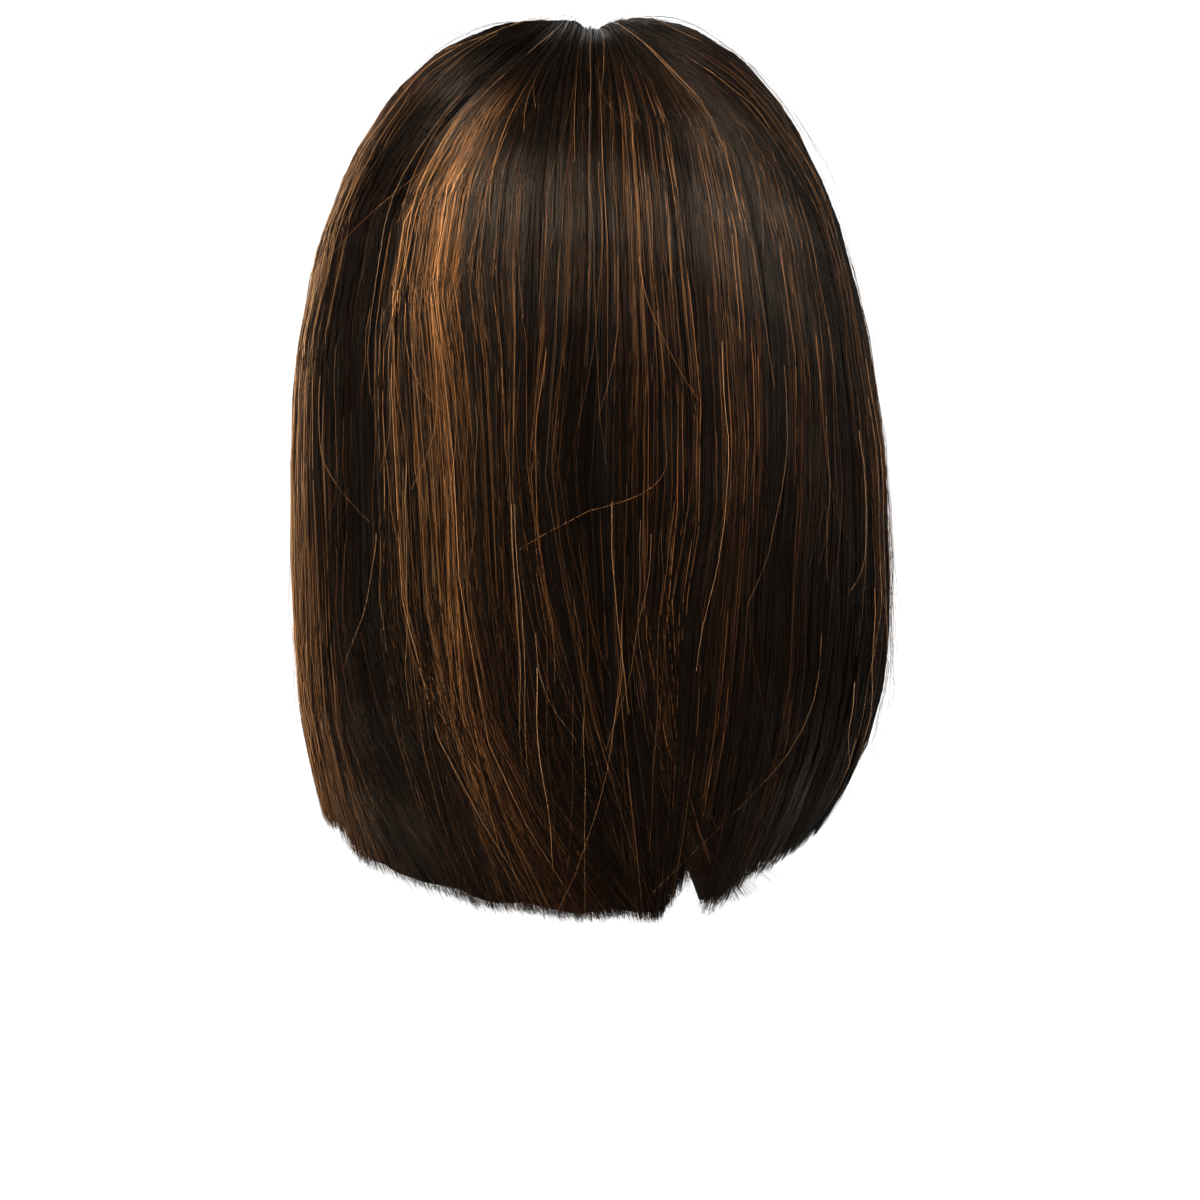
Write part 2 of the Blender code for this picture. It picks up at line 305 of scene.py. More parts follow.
@dataclass(frozen=True)
class HairFinish:
    """Brown-black hair with copper and gold streaks.

    The mesh says at each point how light a hair is, which lower down the fall is
    partly painted shade (tone), how golden (gold), how its own shade differs from its
    neighbours', with painted shade down the middle of the back (shade), and its share
    of the fall (along).
    A span gives the two values that a smooth rise lies between.
    """

    root: Colour = (0.0034, 0.0018, 0.0011)
    brown: Colour = (0.044, 0.0158, 0.0055)
    copper: Colour = (0.255, 0.097, 0.023)
    golden: Colour = (0.27, 0.148, 0.066)
    sheen: Colour = (1.0, 0.75, 0.54)
    brown_tones: Span = (0.0, 0.45)
    light_tones: Span = (0.25, 1.0)
    roughest: float = 0.38
    smoothest: float = 0.24
    smooth_shades: Span = (0.25, 1.7)
    root_dullness: float = 0.24
    root_fall: Span = (0.04, 0.30)
    specular: float = 0.15
    coat_roughness: float = 0.6
    coat_specular: float = 0.02
    fine_cells: Triple = (900.0, 9.0, 1.0)
    fine_detail: float = 3.0
    fine_share: float = 0.6
    broad_cells: Triple = (160.0, 3.0, 1.0)
    broad_detail: float = 2.0
    lit_streaks: Span = (0.35, 0.75)
    coat_shades: Span = (0.15, 0.85)
    coat_relief: float = 0.0006
    coat_relief_strength: float = 0.5

    def colour(self, bench: NodeBench, tone: Wire, gold: Wire, shade: Wire) -> Wire:
        """The hair's colour from its three values.

        Args:
            bench: the material's bench.
            tone: 0 for the darkest hair and 1 for the lightest.
            gold: 0 for copper and 1 for gold in the light hair.
            shade: a factor round 1 on the whole colour.

        Returns:
            The colour.
        """
        light = bench.colour_mix(gold, self.copper, self.golden)
        warm = bench.colour_mix(tone.ramp(*self.brown_tones), self.root, self.brown)
        full = bench.colour_mix(tone.ramp(*self.light_tones), warm, light)
        return bench.scaled(full, shade)

    def strands(self) -> bpy.types.Material:
        """The finish of single hairs, duller at their roots.

        Returns:
            The material.
        """
        material, bench, shader = new_material("single_hairs")
        tone, gold, shade = (bench.attribute(name) for name in ("tone", "gold", "shade"))
        smooth = shade.ramp(*self.smooth_shades)
        rooty = 1.0 - bench.attribute("along").ramp(*self.root_fall)
        roughness = self.roughest + (self.smoothest - self.roughest) * smooth
        bench.fill(shader, {
            "Base Color": self.colour(bench, tone, gold, shade),
            "Roughness": roughness + rooty * self.root_dullness,
            "Specular IOR Level": self.specular,
            "Specular Tint": (*self.sheen, 1.0),
        })
        return material

    def under_coat(self) -> bpy.types.Material:
        """The finish of the dense hair under the single ones, streaked along its fall.

        Returns:
            The material.
        """
        material, bench, shader = new_material("under_coat")
        place = bench.add("ShaderNodeUVMap", {"uv_map": "Fall"})
        fine = bench.streaks(place, self.fine_cells, self.fine_detail)
        broad = bench.streaks(place, self.broad_cells, self.broad_detail)
        streak = fine * self.fine_share + broad * (1 - self.fine_share)
        tone = bench.attribute("tone") * streak.ramp(*self.lit_streaks)
        darkest, lightest = self.coat_shades
        shade = darkest + streak * (lightest - darkest)
        bench.fill(shader, {
            "Base Color": self.colour(bench, tone, bench.attribute("gold"), shade),
            "Roughness": self.coat_roughness,
            "Specular IOR Level": self.coat_specular,
            "Normal": bench.bump(streak, self.coat_relief_strength, self.coat_relief),
        })
        return material


@dataclass(frozen=True)
class NetFinish:
    """A fine net of thread with open meshes between.

    mesh_size is the width of a mesh, and thread_share and knot_share are the reach of
    a thread and of a knot in it. sheer is how solid the open meshes look, and
    row_pitch is the distance between rows of weft, or 0 for none.
    """

    name: str
    thread: Colour
    knot: Colour
    mesh_size: float
    thread_share: float
    knot_share: float
    sheer: float
    row_pitch: float = 0.0
    row_waves: Span = (0.72, 0.9)
    thread_core: float = 0.6
    knot_core: float = 0.7
    relief: float = 0.0004
    relief_strength: float = 0.6
    roughness: float = 0.85
    specular: float = 0.2

    def material(self) -> bpy.types.Material:
        """Threads on the edges of cells, open between them, with rows if it has a pitch.

        Returns:
            The material.
        """
        material, bench, shader = new_material(self.name)
        place = bench.add("ShaderNodeTexCoord", output="Object")
        cells = {"Vector": place, "Scale": 1 / self.mesh_size}
        edge = bench.add("ShaderNodeTexVoronoi", {"feature": "DISTANCE_TO_EDGE"}, cells)
        centre = bench.add("ShaderNodeTexVoronoi", None, cells)
        thread = 1.0 - edge.ramp(self.thread_share * self.thread_core, self.thread_share)
        knots = 1.0 - centre.ramp(self.knot_share * self.knot_core, self.knot_share)
        held = (thread + knots).clamped()
        if self.row_pitch:
            turns = bench.axis(place, "Z") * (math.tau / self.row_pitch)
            held = (held + turns.wave().ramp(*self.row_waves)).clamped()
        bench.fill(shader, {
            "Base Color": bench.colour_mix(knots, self.thread, self.knot),
            "Alpha": (held + self.sheer).clamped(),
            "Normal": bench.bump(held, self.relief_strength, self.relief),
            "Roughness": self.roughness,
            "Specular IOR Level": self.specular,
        })
        return material


WEFTED_CAP_NET = NetFinish(
    name="wefted_cap_net",
    thread=(0.012, 0.009, 0.008),
    knot=(0.01, 0.008, 0.007),
    mesh_size=0.0016,
    thread_share=0.16,
    knot_share=0.10,
    sheer=0.75,
    row_pitch=0.0125,
)
TIED_LACE = NetFinish(
    name="tied_lace",
    thread=(0.20, 0.115, 0.07),
    knot=(0.012, 0.007, 0.005),
    mesh_size=0.0011,
    thread_share=0.13,
    knot_share=0.20,
    sheer=0.82,
)


# Curves that the form and the hair share


def smooth_step(x: np.ndarray) -> np.ndarray:
    """Rises from 0 to 1 with level ends as x goes from 0 to 1."""
    x = np.clip(x, 0.0, 1.0)
    return x * x * (3 - 2 * x)


def rise(x: np.ndarray, start: float | np.ndarray, span: float) -> np.ndarray:
    """Rises from 0 to 1 with level ends as x goes from start to start plus span."""
    return smooth_step((x - start) / span)


def bell(x: np.ndarray, middle: float, width: float) -> np.ndarray:
    """1 at the middle, and falls away as a bell curve on both sides."""
    return np.exp(-(((x - middle) / width) ** 2))


class Window(NamedTuple):
    """Where an effect comes up and goes again, each as a place and a span."""

    start: float
    opening: float
    end: float
    closing: float

    def at(self, x: np.ndarray) -> np.ndarray:
        """How much of the effect there is at x, from 0 to 1."""
        return rise(x, self.start, self.opening) * (1 - rise(x, self.end, self.closing))


def smooth_through(
    knots: np.ndarray, values: np.ndarray, x: np.ndarray
) -> np.ndarray:
    """A smooth curve through points, read at many places.

    Args:
        knots: the points' places, rising.
        values: the points' values.
        x: where the curve is read.

    Returns:
        The curve's values.
    """
    x = np.clip(x, knots[0], knots[-1])
    low = np.clip(np.searchsorted(knots, x, side="right") - 1, 0, len(knots) - 2)
    before = np.maximum(np.arange(len(knots)) - 1, 0)
    after = np.minimum(np.arange(len(knots)) + 1, len(knots) - 1)
    slopes = (values[after] - values[before]) / (knots[after] - knots[before])
    span = knots[low + 1] - knots[low]
    share = (x - knots[low]) / span
    bend = share * (1 - share) * span
    level = values[low] + (values[low + 1] - values[low]) * (share * share * (3 - 2 * share))
    return level + bend * ((1 - share) * slopes[low] - share * slopes[low + 1])


# The form that the solids were built on


class Meridian(NamedTuple):
    """One line of fall from the part over the widest point to the hem, in shares.

    side: place round the head.
    part: share of the part line, 0 at the crown and 1 at the hairline.
    fan_out and fan_back: place on the crown's small fan of roots.
    valley: how deep the hair lies at the part.
    bulge and hem: out in shares of the half spread, along in shares of the back reach
    (or the front reach where negative), level in shares of the hair's length.
    """

    side: float
    part: float
    fan_out: float
    fan_back: float
    valley: float
    bulge_out: float
    bulge_along: float
    bulge_level: float
    hem_out: float
    hem_along: float
    hem_level: float


MERIDIANS = (
    Meridian(0.00, 0.00, 0.00, 1.00, 0.85, 0.00, 1.00, 0.36, 0.00, 0.91, 0.998),
    Meridian(0.20, 0.00, 0.70, 0.72, 0.78, 0.42, 0.93, 0.38, 0.32, 0.86, 0.986),
    Meridian(0.40, 0.00, 0.98, 0.20, 0.80, 0.76, 0.68, 0.44, 0.64, 0.65, 0.960),
    Meridian(0.58, 0.14, 0.00, 0.00, 1.00, 0.95, 0.29, 0.50, 0.84, 0.29, 0.914),
    Meridian(0.75, 0.46, 0.00, 0.00, 1.00, 1.00, -0.15, 0.50, 0.89, -0.13, 0.880),
    Meridian(0.88, 0.78, 0.00, 0.00, 1.00, 0.87, -0.66, 0.47, 0.79, -0.60, 0.860),
    Meridian(1.00, 1.00, 0.00, 0.00, 1.00, 0.54, -0.98, 0.42, 0.51, -0.92, 0.850),
)


class Dip(NamedTuple):
    """A place across the crown where the hair lies lower: where, how wide, how deep."""

    middle: float
    width: float
    depth: float


@dataclass(frozen=True)
class HairForm:
    """The outer and inner faces of the hair, as the solids have them.

    Only the crown differs a little: it has dips, and a smaller fan of roots. Lengths
    are in metres. A lift is the hair's height over the cap, and part_opens,
    dome_share and the values for the right side are shares.
    """

    head_half_width: float = 0.076
    head_front_depth: float = 0.092
    head_back_depth: float = 0.098
    head_dome_height: float = 0.095
    cap_wall: float = 0.0015
    side_volume: float = 0.044
    back_volume: float = 0.017
    face_setback: float = 0.008
    hair_length: float = 0.360
    crown_lift: float = 0.0200
    front_lift: float = 0.0080
    root_lift: float = 0.0040
    hem_thickness: float = 0.009
    hair_gap: float = 0.0014
    part_half_gap: float = 0.0006
    part_opens: float = 0.06
    part_width: float = 0.013
    crown_fan: float = 0.0009
    crown_angle: float = math.radians(-11)
    hairline_angle: float = math.radians(58)
    dome_fullness: float = 0.69
    tuck_power: float = 3.0
    dome_share: float = 0.5
    right_bulge_drop: float = 0.125
    right_hem_inset: float = 0.105
    crown_dips: tuple[Dip, ...] = (Dip(-0.0028, 0.0068, 0.0036), Dip(0.0250, 0.0150, 0.0013))
    dip_level: float = 0.004
    dip_rise: float = 0.010

    def meridian(self, side: np.ndarray) -> dict[str, np.ndarray]:
        """The meridians' shares at many places round the head.

        Args:
            side: the places.

        Returns:
            Each column's values at the places, by its name.
        """
        rows = [*reversed(MERIDIANS[1:]), *MERIDIANS]
        signs = np.array([-1] * (len(MERIDIANS) - 1) + [1] * len(MERIDIANS))
        knots = signs * np.array([row.side for row in rows])
        shares = {}
        for name in Meridian._fields[1:]:
            column = np.array([getattr(row, name) for row in rows])
            mirrored = signs * column if name.endswith("_out") else column
            shares[name] = smooth_through(knots, mirrored, side)
        right = side < 0
        drop = self.right_bulge_drop * shares["bulge_out"]
        shares["bulge_level"] = shares["bulge_level"] - np.where(right, drop, 0)
        shares["hem_out"] = shares["hem_out"] * np.where(right, 1 - self.right_hem_inset, 1)
        return shares

    def plan_point(self, out: np.ndarray, along: np.ndarray, level: np.ndarray) -> np.ndarray:
        """A point of the outer form from its three shares.

        Args:
            out: shares of the half spread.
            along: shares of the back reach, or of the front reach where negative.
            level: shares of the hair's length.

        Returns:
            Points in metres.
        """
        back = self.head_back_depth + self.back_volume
        front = self.head_front_depth - self.face_setback
        reach = np.where(along > 0, back, front)
        half_spread = self.head_half_width + self.side_volume
        top = self.cap_wall + self.crown_lift
        return np.stack([out * half_spread, along * reach, top - level * self.hair_length], -1)

    def crest(
        self, shares: dict[str, np.ndarray], side: np.ndarray
    ) -> tuple[np.ndarray, np.ndarray, np.ndarray]:
        """Where the hair stands highest over its roots.

        Args:
            shares: the meridians' shares.
            side: the same places round the head.

        Returns:
            The crest above each root, the normal there and the lift off the cap.
        """
        part = np.clip(shares["part"], 0, 1)
        polar = self.crown_angle + part * (self.hairline_angle - self.crown_angle)
        lift = self.crown_lift + part * (self.front_lift - self.crown_lift)
        depth = np.where(polar > 0, self.head_front_depth, self.head_back_depth)
        sine, cosine, none = np.sin(polar), np.cos(polar), np.zeros_like(polar)
        on_cap = np.stack([
            none,
            -(depth + self.cap_wall) * sine,
            (self.head_dome_height + self.cap_wall) * cosine - self.head_dome_height,
        ], -1)
        normal = np.stack([none, -sine, cosine], -1)
        fan = np.stack([shares["fan_out"], shares["fan_back"], none], -1) * self.crown_fan
        apart = np.clip(side / self.part_opens, -1, 1) * self.part_half_gap
        gap = np.stack([apart, none, none], -1)
        return on_cap + normal * lift[..., None] + fan + gap, normal, lift

    def outer(
        self, side: np.ndarray, share: np.ndarray, extra_fall: np.ndarray | float = 0.0
    ) -> np.ndarray:
        """Points of the outer face: over the dome, then down as a curtain.

        Args:
            side: places round the head.
            share: shares of the fall.
            extra_fall: how much lower than the meridians the hair ends.

        Returns:
            Points in metres.
        """
        side, share = np.broadcast_arrays(np.asarray(side, float), np.asarray(share, float))
        m = self.meridian(side)
        crest, normal, lift = self.crest(m, side)
        bulge = self.plan_point(m["bulge_out"], m["bulge_along"], m["bulge_level"])
        hem = self.plan_point(m["hem_out"], m["hem_along"], m["hem_level"])
        turn = np.pi / 2 * np.clip(share / self.dome_share, 0, 1)
        over = (np.sin(turn) ** self.dome_fullness)[..., None]
        dome = crest + (bulge - crest) * over
        dome[..., 2] = bulge[..., 2] + (crest[..., 2] - bulge[..., 2]) * np.cos(turn)
        fall = np.clip((share - self.dome_share) / (1 - self.dome_share), 0, None)
        curtain = bulge + (hem - bulge) * (fall**self.tuck_power)[..., None]
        drop = hem[..., 2] - extra_fall - bulge[..., 2]
        curtain[..., 2] = bulge[..., 2] + drop * fall
        point = np.where((share < self.dome_share)[..., None], dome, curtain)
        away = np.linalg.norm((point - crest)[..., :2], axis=-1) / self.part_width
        valley = (lift - self.root_lift) * m["valley"] * np.exp(-away * away)
        point = point - normal * valley[..., None]
        high = rise(point[..., 2], self.dip_level, self.dip_rise)
        for dip in self.crown_dips:
            depth = dip.depth * bell(point[..., 0], dip.middle, dip.width)
            point[..., 2] = point[..., 2] - depth * high
        return point

    def outwards(self, point: np.ndarray) -> tuple[np.ndarray, np.ndarray]:
        """Directions away from the head.

        Args:
            point: points of a face of the hair.

        Returns:
            Directions from the head's axis to the points, and the distances.
        """
        centre = np.zeros_like(point)
        centre[..., 2] = np.minimum(point[..., 2], -self.head_dome_height)
        away = point - centre
        distance = np.linalg.norm(away, axis=-1)
        return away / distance[..., None], distance

    def inner(
        self, side: np.ndarray, share: np.ndarray, extra_fall: np.ndarray | float = 0.0
    ) -> np.ndarray:
        """Points of the inner face behind the outer ones: on the cap, then hanging free.

        Args:
            side: places round the head.
            share: shares of the fall.
            extra_fall: how much lower than the meridians the hair ends.

        Returns:
            Points in metres.
        """
        outer = self.outer(side, share, extra_fall)
        direction, distance = self.outwards(outer)
        offset = self.cap_wall + self.hair_gap
        depth = np.where(direction[..., 1] < 0, self.head_front_depth, self.head_back_depth)
        scaled = direction / np.stack([
            np.full_like(depth, self.head_half_width + offset),
            depth + offset,
            np.full_like(depth, self.head_dome_height + offset),
        ], -1)
        on_cap = 1 / np.linalg.norm(scaled, axis=-1)
        hem_z = self.outer(side, np.ones_like(outer[..., 0]), extra_fall)[..., 2]
        level = -self.head_dome_height
        held = distance - on_cap
        below = (level - outer[..., 2]) / (level - hem_z)
        thickness = held + (self.hem_thickness - held) * smooth_step(below)
        thickness = np.where(outer[..., 2] < level, thickness, held)
        return outer - direction * thickness[..., None]


# Colour along and round the hair


class Streak(NamedTuple):
    """A band of lighter hair.

    middle and half_width are places round the head, crowd is the share of hairs that
    it lightens, tone and gold are their looks, and start, full and end are places
    along the fall where it begins, is fullest and has faded. The fading below full is
    partly the streak's own colour and partly painted shade of the lower hair, which
    the light reaches less.
    """

    middle: float
    half_width: float
    crowd: float
    tone: float
    gold: float
    start: float
    full: float
    end: float


STREAKS = (
    Streak(0.660, 0.130, 0.64, 0.68, 0.75, 0.06, 0.32, 1.50),
    Streak(0.600, 0.110, 0.62, 0.56, 0.60, 0.50, 0.72, 1.80),
    Streak(0.470, 0.060, 0.30, 0.34, 0.55, 0.30, 0.60, 1.30),
    Streak(0.270, 0.100, 0.66, 1.00, 0.15, 0.17, 0.33, 0.66),
    Streak(0.290, 0.090, 0.54, 0.60, 0.35, 0.30, 0.60, 1.50),
    Streak(0.170, 0.130, 0.46, 0.54, 0.25, 0.22, 0.44, 1.10),
    Streak(0.060, 0.110, 0.34, 0.46, 0.45, 0.20, 0.45, 1.40),
    Streak(-0.060, 0.200, 0.30, 0.50, 0.50, 0.60, 0.80, 1.80),
    Streak(-0.090, 0.110, 0.42, 0.60, 0.40, 0.10, 0.32, 0.80),
    Streak(-0.115, 0.035, 0.46, 0.50, 0.30, 0.46, 0.66, 1.05),
    Streak(-0.220, 0.110, 0.38, 0.56, 0.50, 0.10, 0.32, 0.85),
    Streak(-0.380, 0.100, 0.30, 0.52, 0.60, 0.08, 0.32, 0.62),
    Streak(-0.580, 0.140, 0.34, 0.50, 0.80, 0.03, 0.22, 0.58),
    Streak(-0.780, 0.100, 0.38, 0.50, 0.50, 0.12, 0.40, 1.20),
    Streak(-0.930, 0.090, 0.60, 0.66, 0.40, 0.10, 0.36, 1.30),
    Streak(0.930, 0.090, 0.60, 0.66, 0.40, 0.10, 0.36, 1.30),
    Streak(0.800, 0.060, 0.40, 0.50, 0.50, 0.12, 0.40, 1.20),
    Streak(0.000, 2.000, 0.16, 0.38, 0.55, 0.10, 0.40, 1.60),
)
STREAK_EDGE = 0.12
# How much of a streak's tone is gone at its end: partly its own fading, partly painted shade of the
# lower hair
STREAK_FADE_AND_PAINTED_SHADE = 0.75
PLAIN_GOLD = 0.3


def streak_tone(
    side: np.ndarray, share: np.ndarray, chance: np.ndarray
) -> tuple[np.ndarray, np.ndarray]:
    """How light and how golden hair is.

    Args:
        side: places round the head.
        share: shares of the fall.
        chance: an even random value for each hair, which picks the lightened ones.

    Returns:
        Tone and gold, both from 0 to 1.
    """
    tone = np.zeros(np.broadcast(side, share).shape)
    gold = np.full_like(tone, PLAIN_GOLD)
    for s in STREAKS:
        near = bell(side, s.middle, s.half_width)
        picked = smooth_step((near * s.crowd - chance) / STREAK_EDGE)
        begun = rise(share, s.start, s.full - s.start)
        # Partly painted shade: streaks dim lower down the fall, where less light reaches
        fade_and_painted_shade = 1 - STREAK_FADE_AND_PAINTED_SHADE * rise(share, s.full, s.end - s.full)
        here = s.tone * picked * begun * fade_and_painted_shade
        gold = np.where(here > tone, s.gold, gold)
        tone = np.maximum(tone, here)
    return tone, gold


# How the hair lies


class Comb(NamedTuple):
    """How the hair of one side is swept back from the part before it falls.

    sign is 1 on the left and -1 on the right. The hair that hangs at the peak is moved
    the most, by amount, and hair that hangs further out by reach isn't moved. From
    start on the hair swings out to where it hangs, and after span it is there.
    """

    sign: int
    peak: float
    reach: float
    amount: float
    start: float
    span: float


COMBS = (
    Comb(1, 0.375, 0.50, 0.20, 0.10, 0.27),
    Comb(-1, 0.48, 0.45, 0.28, 0.06, 0.22),
)


class Bend(NamedTuple):
    """A place where the hair's fall steps sideways: where, how far down and how much."""

    middle: float
    half_width: float
    start: float
    span: float
    amount: float


BENDS = (
    Bend(0.240, 0.120, 0.44, 0.15, -0.036),
    Bend(0.240, 0.120, 0.70, 0.20, 0.016),
    Bend(0.050, 0.085, 0.48, 0.13, 0.024),
    Bend(0.050, 0.085, 0.64, 0.14, -0.028),
    Bend(-0.150, 0.090, 0.40, 0.16, -0.020),
    Bend(-0.150, 0.090, 0.60, 0.14, 0.024),
    Bend(-0.400, 0.110, 0.46, 0.18, 0.016),
    Bend(-0.400, 0.110, 0.68, 0.18, -0.014),
    Bend(0.560, 0.110, 0.40, 0.20, -0.014),
    Bend(0.560, 0.110, 0.66, 0.18, 0.016),
)


def combed(base: np.ndarray, share: np.ndarray) -> np.ndarray:
    """Where hair that hangs at a place lies further up its fall.

    Hair of the sides is swept back from the part before it falls, so near the crown it
    lies closer to the middle of the back.

    Args:
        base: places round the head where the hair hangs.
        share: shares of the fall.

    Returns:
        Places round the head.
    """
    moved = base + np.zeros_like(share)
    for comb in COMBS:
        out = comb.sign * base
        near = Window(0.0, comb.peak, comb.peak, comb.reach).at(out)
        held = 1 - rise(share, comb.start, comb.span)
        moved = moved - comb.sign * comb.amount * near * held
    for bend in BENDS:
        near = bell(base, bend.middle, bend.half_width)
        moved = moved + bend.amount * near * rise(share, bend.start, bend.span)
    return moved


@dataclass(frozen=True)
class Relief:
    """Valleys between the locks, the dark divide on the left and the dark middle.

    Depths are in metres, and places, widths and wanders are round the head. The
    wanders' waves turn by so many radians down the fall and across the head.
    """

    lock_pitch: float = 0.0725
    lock_flatness: float = 0.6
    lock_depth: float = 0.0022
    lock_wander: float = 0.010
    wander_down: float = 9.0
    wander_across: float = 21.0
    lock_start: float = 0.15
    lock_span: float = 0.7
    divide_place: float = 0.378
    divide_width: float = 0.014
    divide_depth: float = 0.0040
    divide_fall: Window = Window(0.0, 0.10, 0.45, 0.4)
    ledge_depth: float = 0.0016
    ledge_edge: float = 0.02
    ledge_spread: float = 0.2
    middle_depth: float = 0.0040
    middle_width: float = 0.018
    middle_wander: float = 0.012
    middle_turns: float = 11.0
    middle_start: float = 0.42
    middle_span: float = 0.3

    def depth(self, base: np.ndarray, share: np.ndarray) -> np.ndarray:
        """How deep the hair lies under the smooth outer form.

        Args:
            base: places round the head.
            share: shares of the fall.

        Returns:
            Depths in metres.
        """
        turns = self.wander_down * share + self.wander_across * base
        wander = self.lock_wander * np.sin(turns)
        ridge = np.abs(np.sin((base + wander) * math.pi / self.lock_pitch)) ** self.lock_flatness
        valley = self.lock_depth * (1 - ridge) * rise(share, self.lock_start, self.lock_span)
        divide = self.divide_depth * bell(base, self.divide_place, self.divide_width)
        ledge = self.ledge_depth * rise(self.divide_place - base, 0.0, self.ledge_edge)
        ledge = ledge * np.exp(-base * base / self.ledge_spread) * (base > 0)
        wander = self.middle_wander * np.sin(self.middle_turns * share)
        middle = self.middle_depth * bell(base + wander, 0.0, self.middle_width)
        middle = middle * rise(share, self.middle_start, self.middle_span)
        return valley + (divide + ledge) * self.divide_fall.at(share) + middle


class Tress(NamedTuple):
    """A tress from one place round the head to another, in locks.

    The drops are how much lower than the meridians' hem it ends at its start and its
    end, in shares of the hair's length.
    """

    name: str
    start: float
    end: float
    locks: int
    start_drop: float
    end_drop: float
    hairs: int


TRESSES = (
    Tress("left_face_tress", 1.00, 0.79, 3, 0.000, 0.002, 1250),
    Tress("left_side_tress", 0.79, 0.38, 5, 0.002, -0.001, 1850),
    Tress("back_left_tress", 0.38, 0.09, 4, -0.001, 0.000, 2000),
    Tress("back_centre_tress", 0.09, -0.24, 4, 0.000, 0.008, 2000),
    Tress("back_right_tress", -0.24, -0.42, 3, 0.015, -0.022, 1150),
    Tress("right_side_tress", -0.42, -0.79, 5, -0.009, -0.003, 1850),
    Tress("right_face_tress", -0.79, -1.00, 3, 0.000, 0.000, 1200),
)
HIGHLIGHTED_TRESS = "back_left_tress"


@dataclass(frozen=True)
class Hem:
    """How the tips of the tresses are cut, with the gap right of the middle."""

    notch_place: float = -0.24
    notch_left_reach: float = 0.080
    notch_right_reach: float = 0.030
    notch_cut: float = 0.017
    variation: float = 0.0014
    wave_step: float = 2.4
    phase: float = 7.0

    def fall(self, tress: Tress, side: np.ndarray, length: float) -> np.ndarray:
        """How much further than the meridians' hem a tress falls.

        Args:
            tress: the tress.
            side: places round the head within it.
            length: the hair's full length.

        Returns:
            Lengths in metres, negative where it is shorter.
        """
        place = np.clip((side - tress.start) / (tress.end - tress.start), 0, 1)
        drop = tress.start_drop + (tress.end_drop - tress.start_drop) * place
        wander = np.sin(self.wave_step * place * tress.locks + self.phase * tress.start)
        wander = wander * np.sin(math.pi * place)
        left = side > self.notch_place
        reach = np.where(left, self.notch_left_reach, self.notch_right_reach)
        notch = np.clip(1 - np.abs(side - self.notch_place) / reach, 0, None)
        return drop * length + self.variation * wander - self.notch_cut * notch


# Meshes


def linked(name: str, data: bpy.types.ID) -> bpy.types.Object:
    """Makes an object and links it to the scene.

    Args:
        name: the object's name.
        data: its mesh, light or camera.

    Returns:
        The object.
    """
    obj = bpy.data.objects.new(name, data)
    bpy.context.scene.collection.objects.link(obj)
    return obj


def mesh_object(
    name: str, points: np.ndarray, faces: Sequence[Sequence[int]], material: bpy.types.Material
) -> bpy.types.Object:
    """Links a smooth-shaded mesh object of one material.

    Args:
        name: the object's name.
        points: its vertices.
        faces: its faces.
        material: its material.

    Returns:
        The object.
    """
    mesh = bpy.data.meshes.new(name)
    mesh.from_pydata(points.tolist(), [], faces)
    mesh.materials.append(material)
    mesh.shade_smooth()
    return linked(name, mesh)


def put_attribute(mesh: bpy.types.Mesh, name: str, values: np.ndarray) -> None:
    """Stores a number or a vector at each point of a mesh.

    Args:
        mesh: the mesh.
        name: the attribute's name.
        values: one number or one row of three for each point.
    """
    kind, key = ("FLOAT", "value") if values.ndim == 1 else ("FLOAT_VECTOR", "vector")
    layer = mesh.attributes.new(name, kind, "POINT")
    layer.data.foreach_set(key, values.astype(np.float32).ravel())


@dataclass
class CentreLines:
    """The centre lines of many hairs: points, and one value for each of them."""

    points: np.ndarray
    radius: np.ndarray
    tone: np.ndarray
    gold: np.ndarray
    shade: np.ndarray
    loose: np.ndarray
    along: np.ndarray

    @staticmethod
    def joined(sets: Sequence["CentreLines"]) -> "CentreLines":
        """One set from several of the same number of points a hair."""
        names = [item.name for item in fields(CentreLines)]
        return CentreLines(**{n: np.concatenate([getattr(s, n) for s in sets]) for n in names})

    def to_object(self, name: str, columns: int, rows: int) -> bpy.types.Object:
        """Makes a mesh of edges with the hairs' values at its points.

        Args:
            name: the object's name.
            columns: columns of the bake map.
            rows: rows of the bake map.

        Returns:
            The object, linked.
        """
        hairs, steps = self.points.shape[:2]
        first = np.arange(hairs * steps).reshape(hairs, steps)
        edges = np.stack([first[:, :-1], first[:, 1:]], -1).reshape(-1, 2)
        mesh = bpy.data.meshes.new(name)
        mesh.vertices.add(hairs * steps)
        mesh.vertices.foreach_set("co", self.points.astype(np.float32).ravel())
        mesh.edges.add(len(edges))
        mesh.edges.foreach_set("vertices", edges.astype(np.int32).ravel())
        number = np.repeat(np.arange(hairs) % (columns * rows), steps)
        cell = np.stack([number % columns / columns, number // columns / rows, 0 * number], -1)
        put_attribute(mesh, "cell", cell)
        for item in fields(self)[1:]:
            put_attribute(mesh, item.name, getattr(self, item.name).ravel())
        return linked(name, mesh)


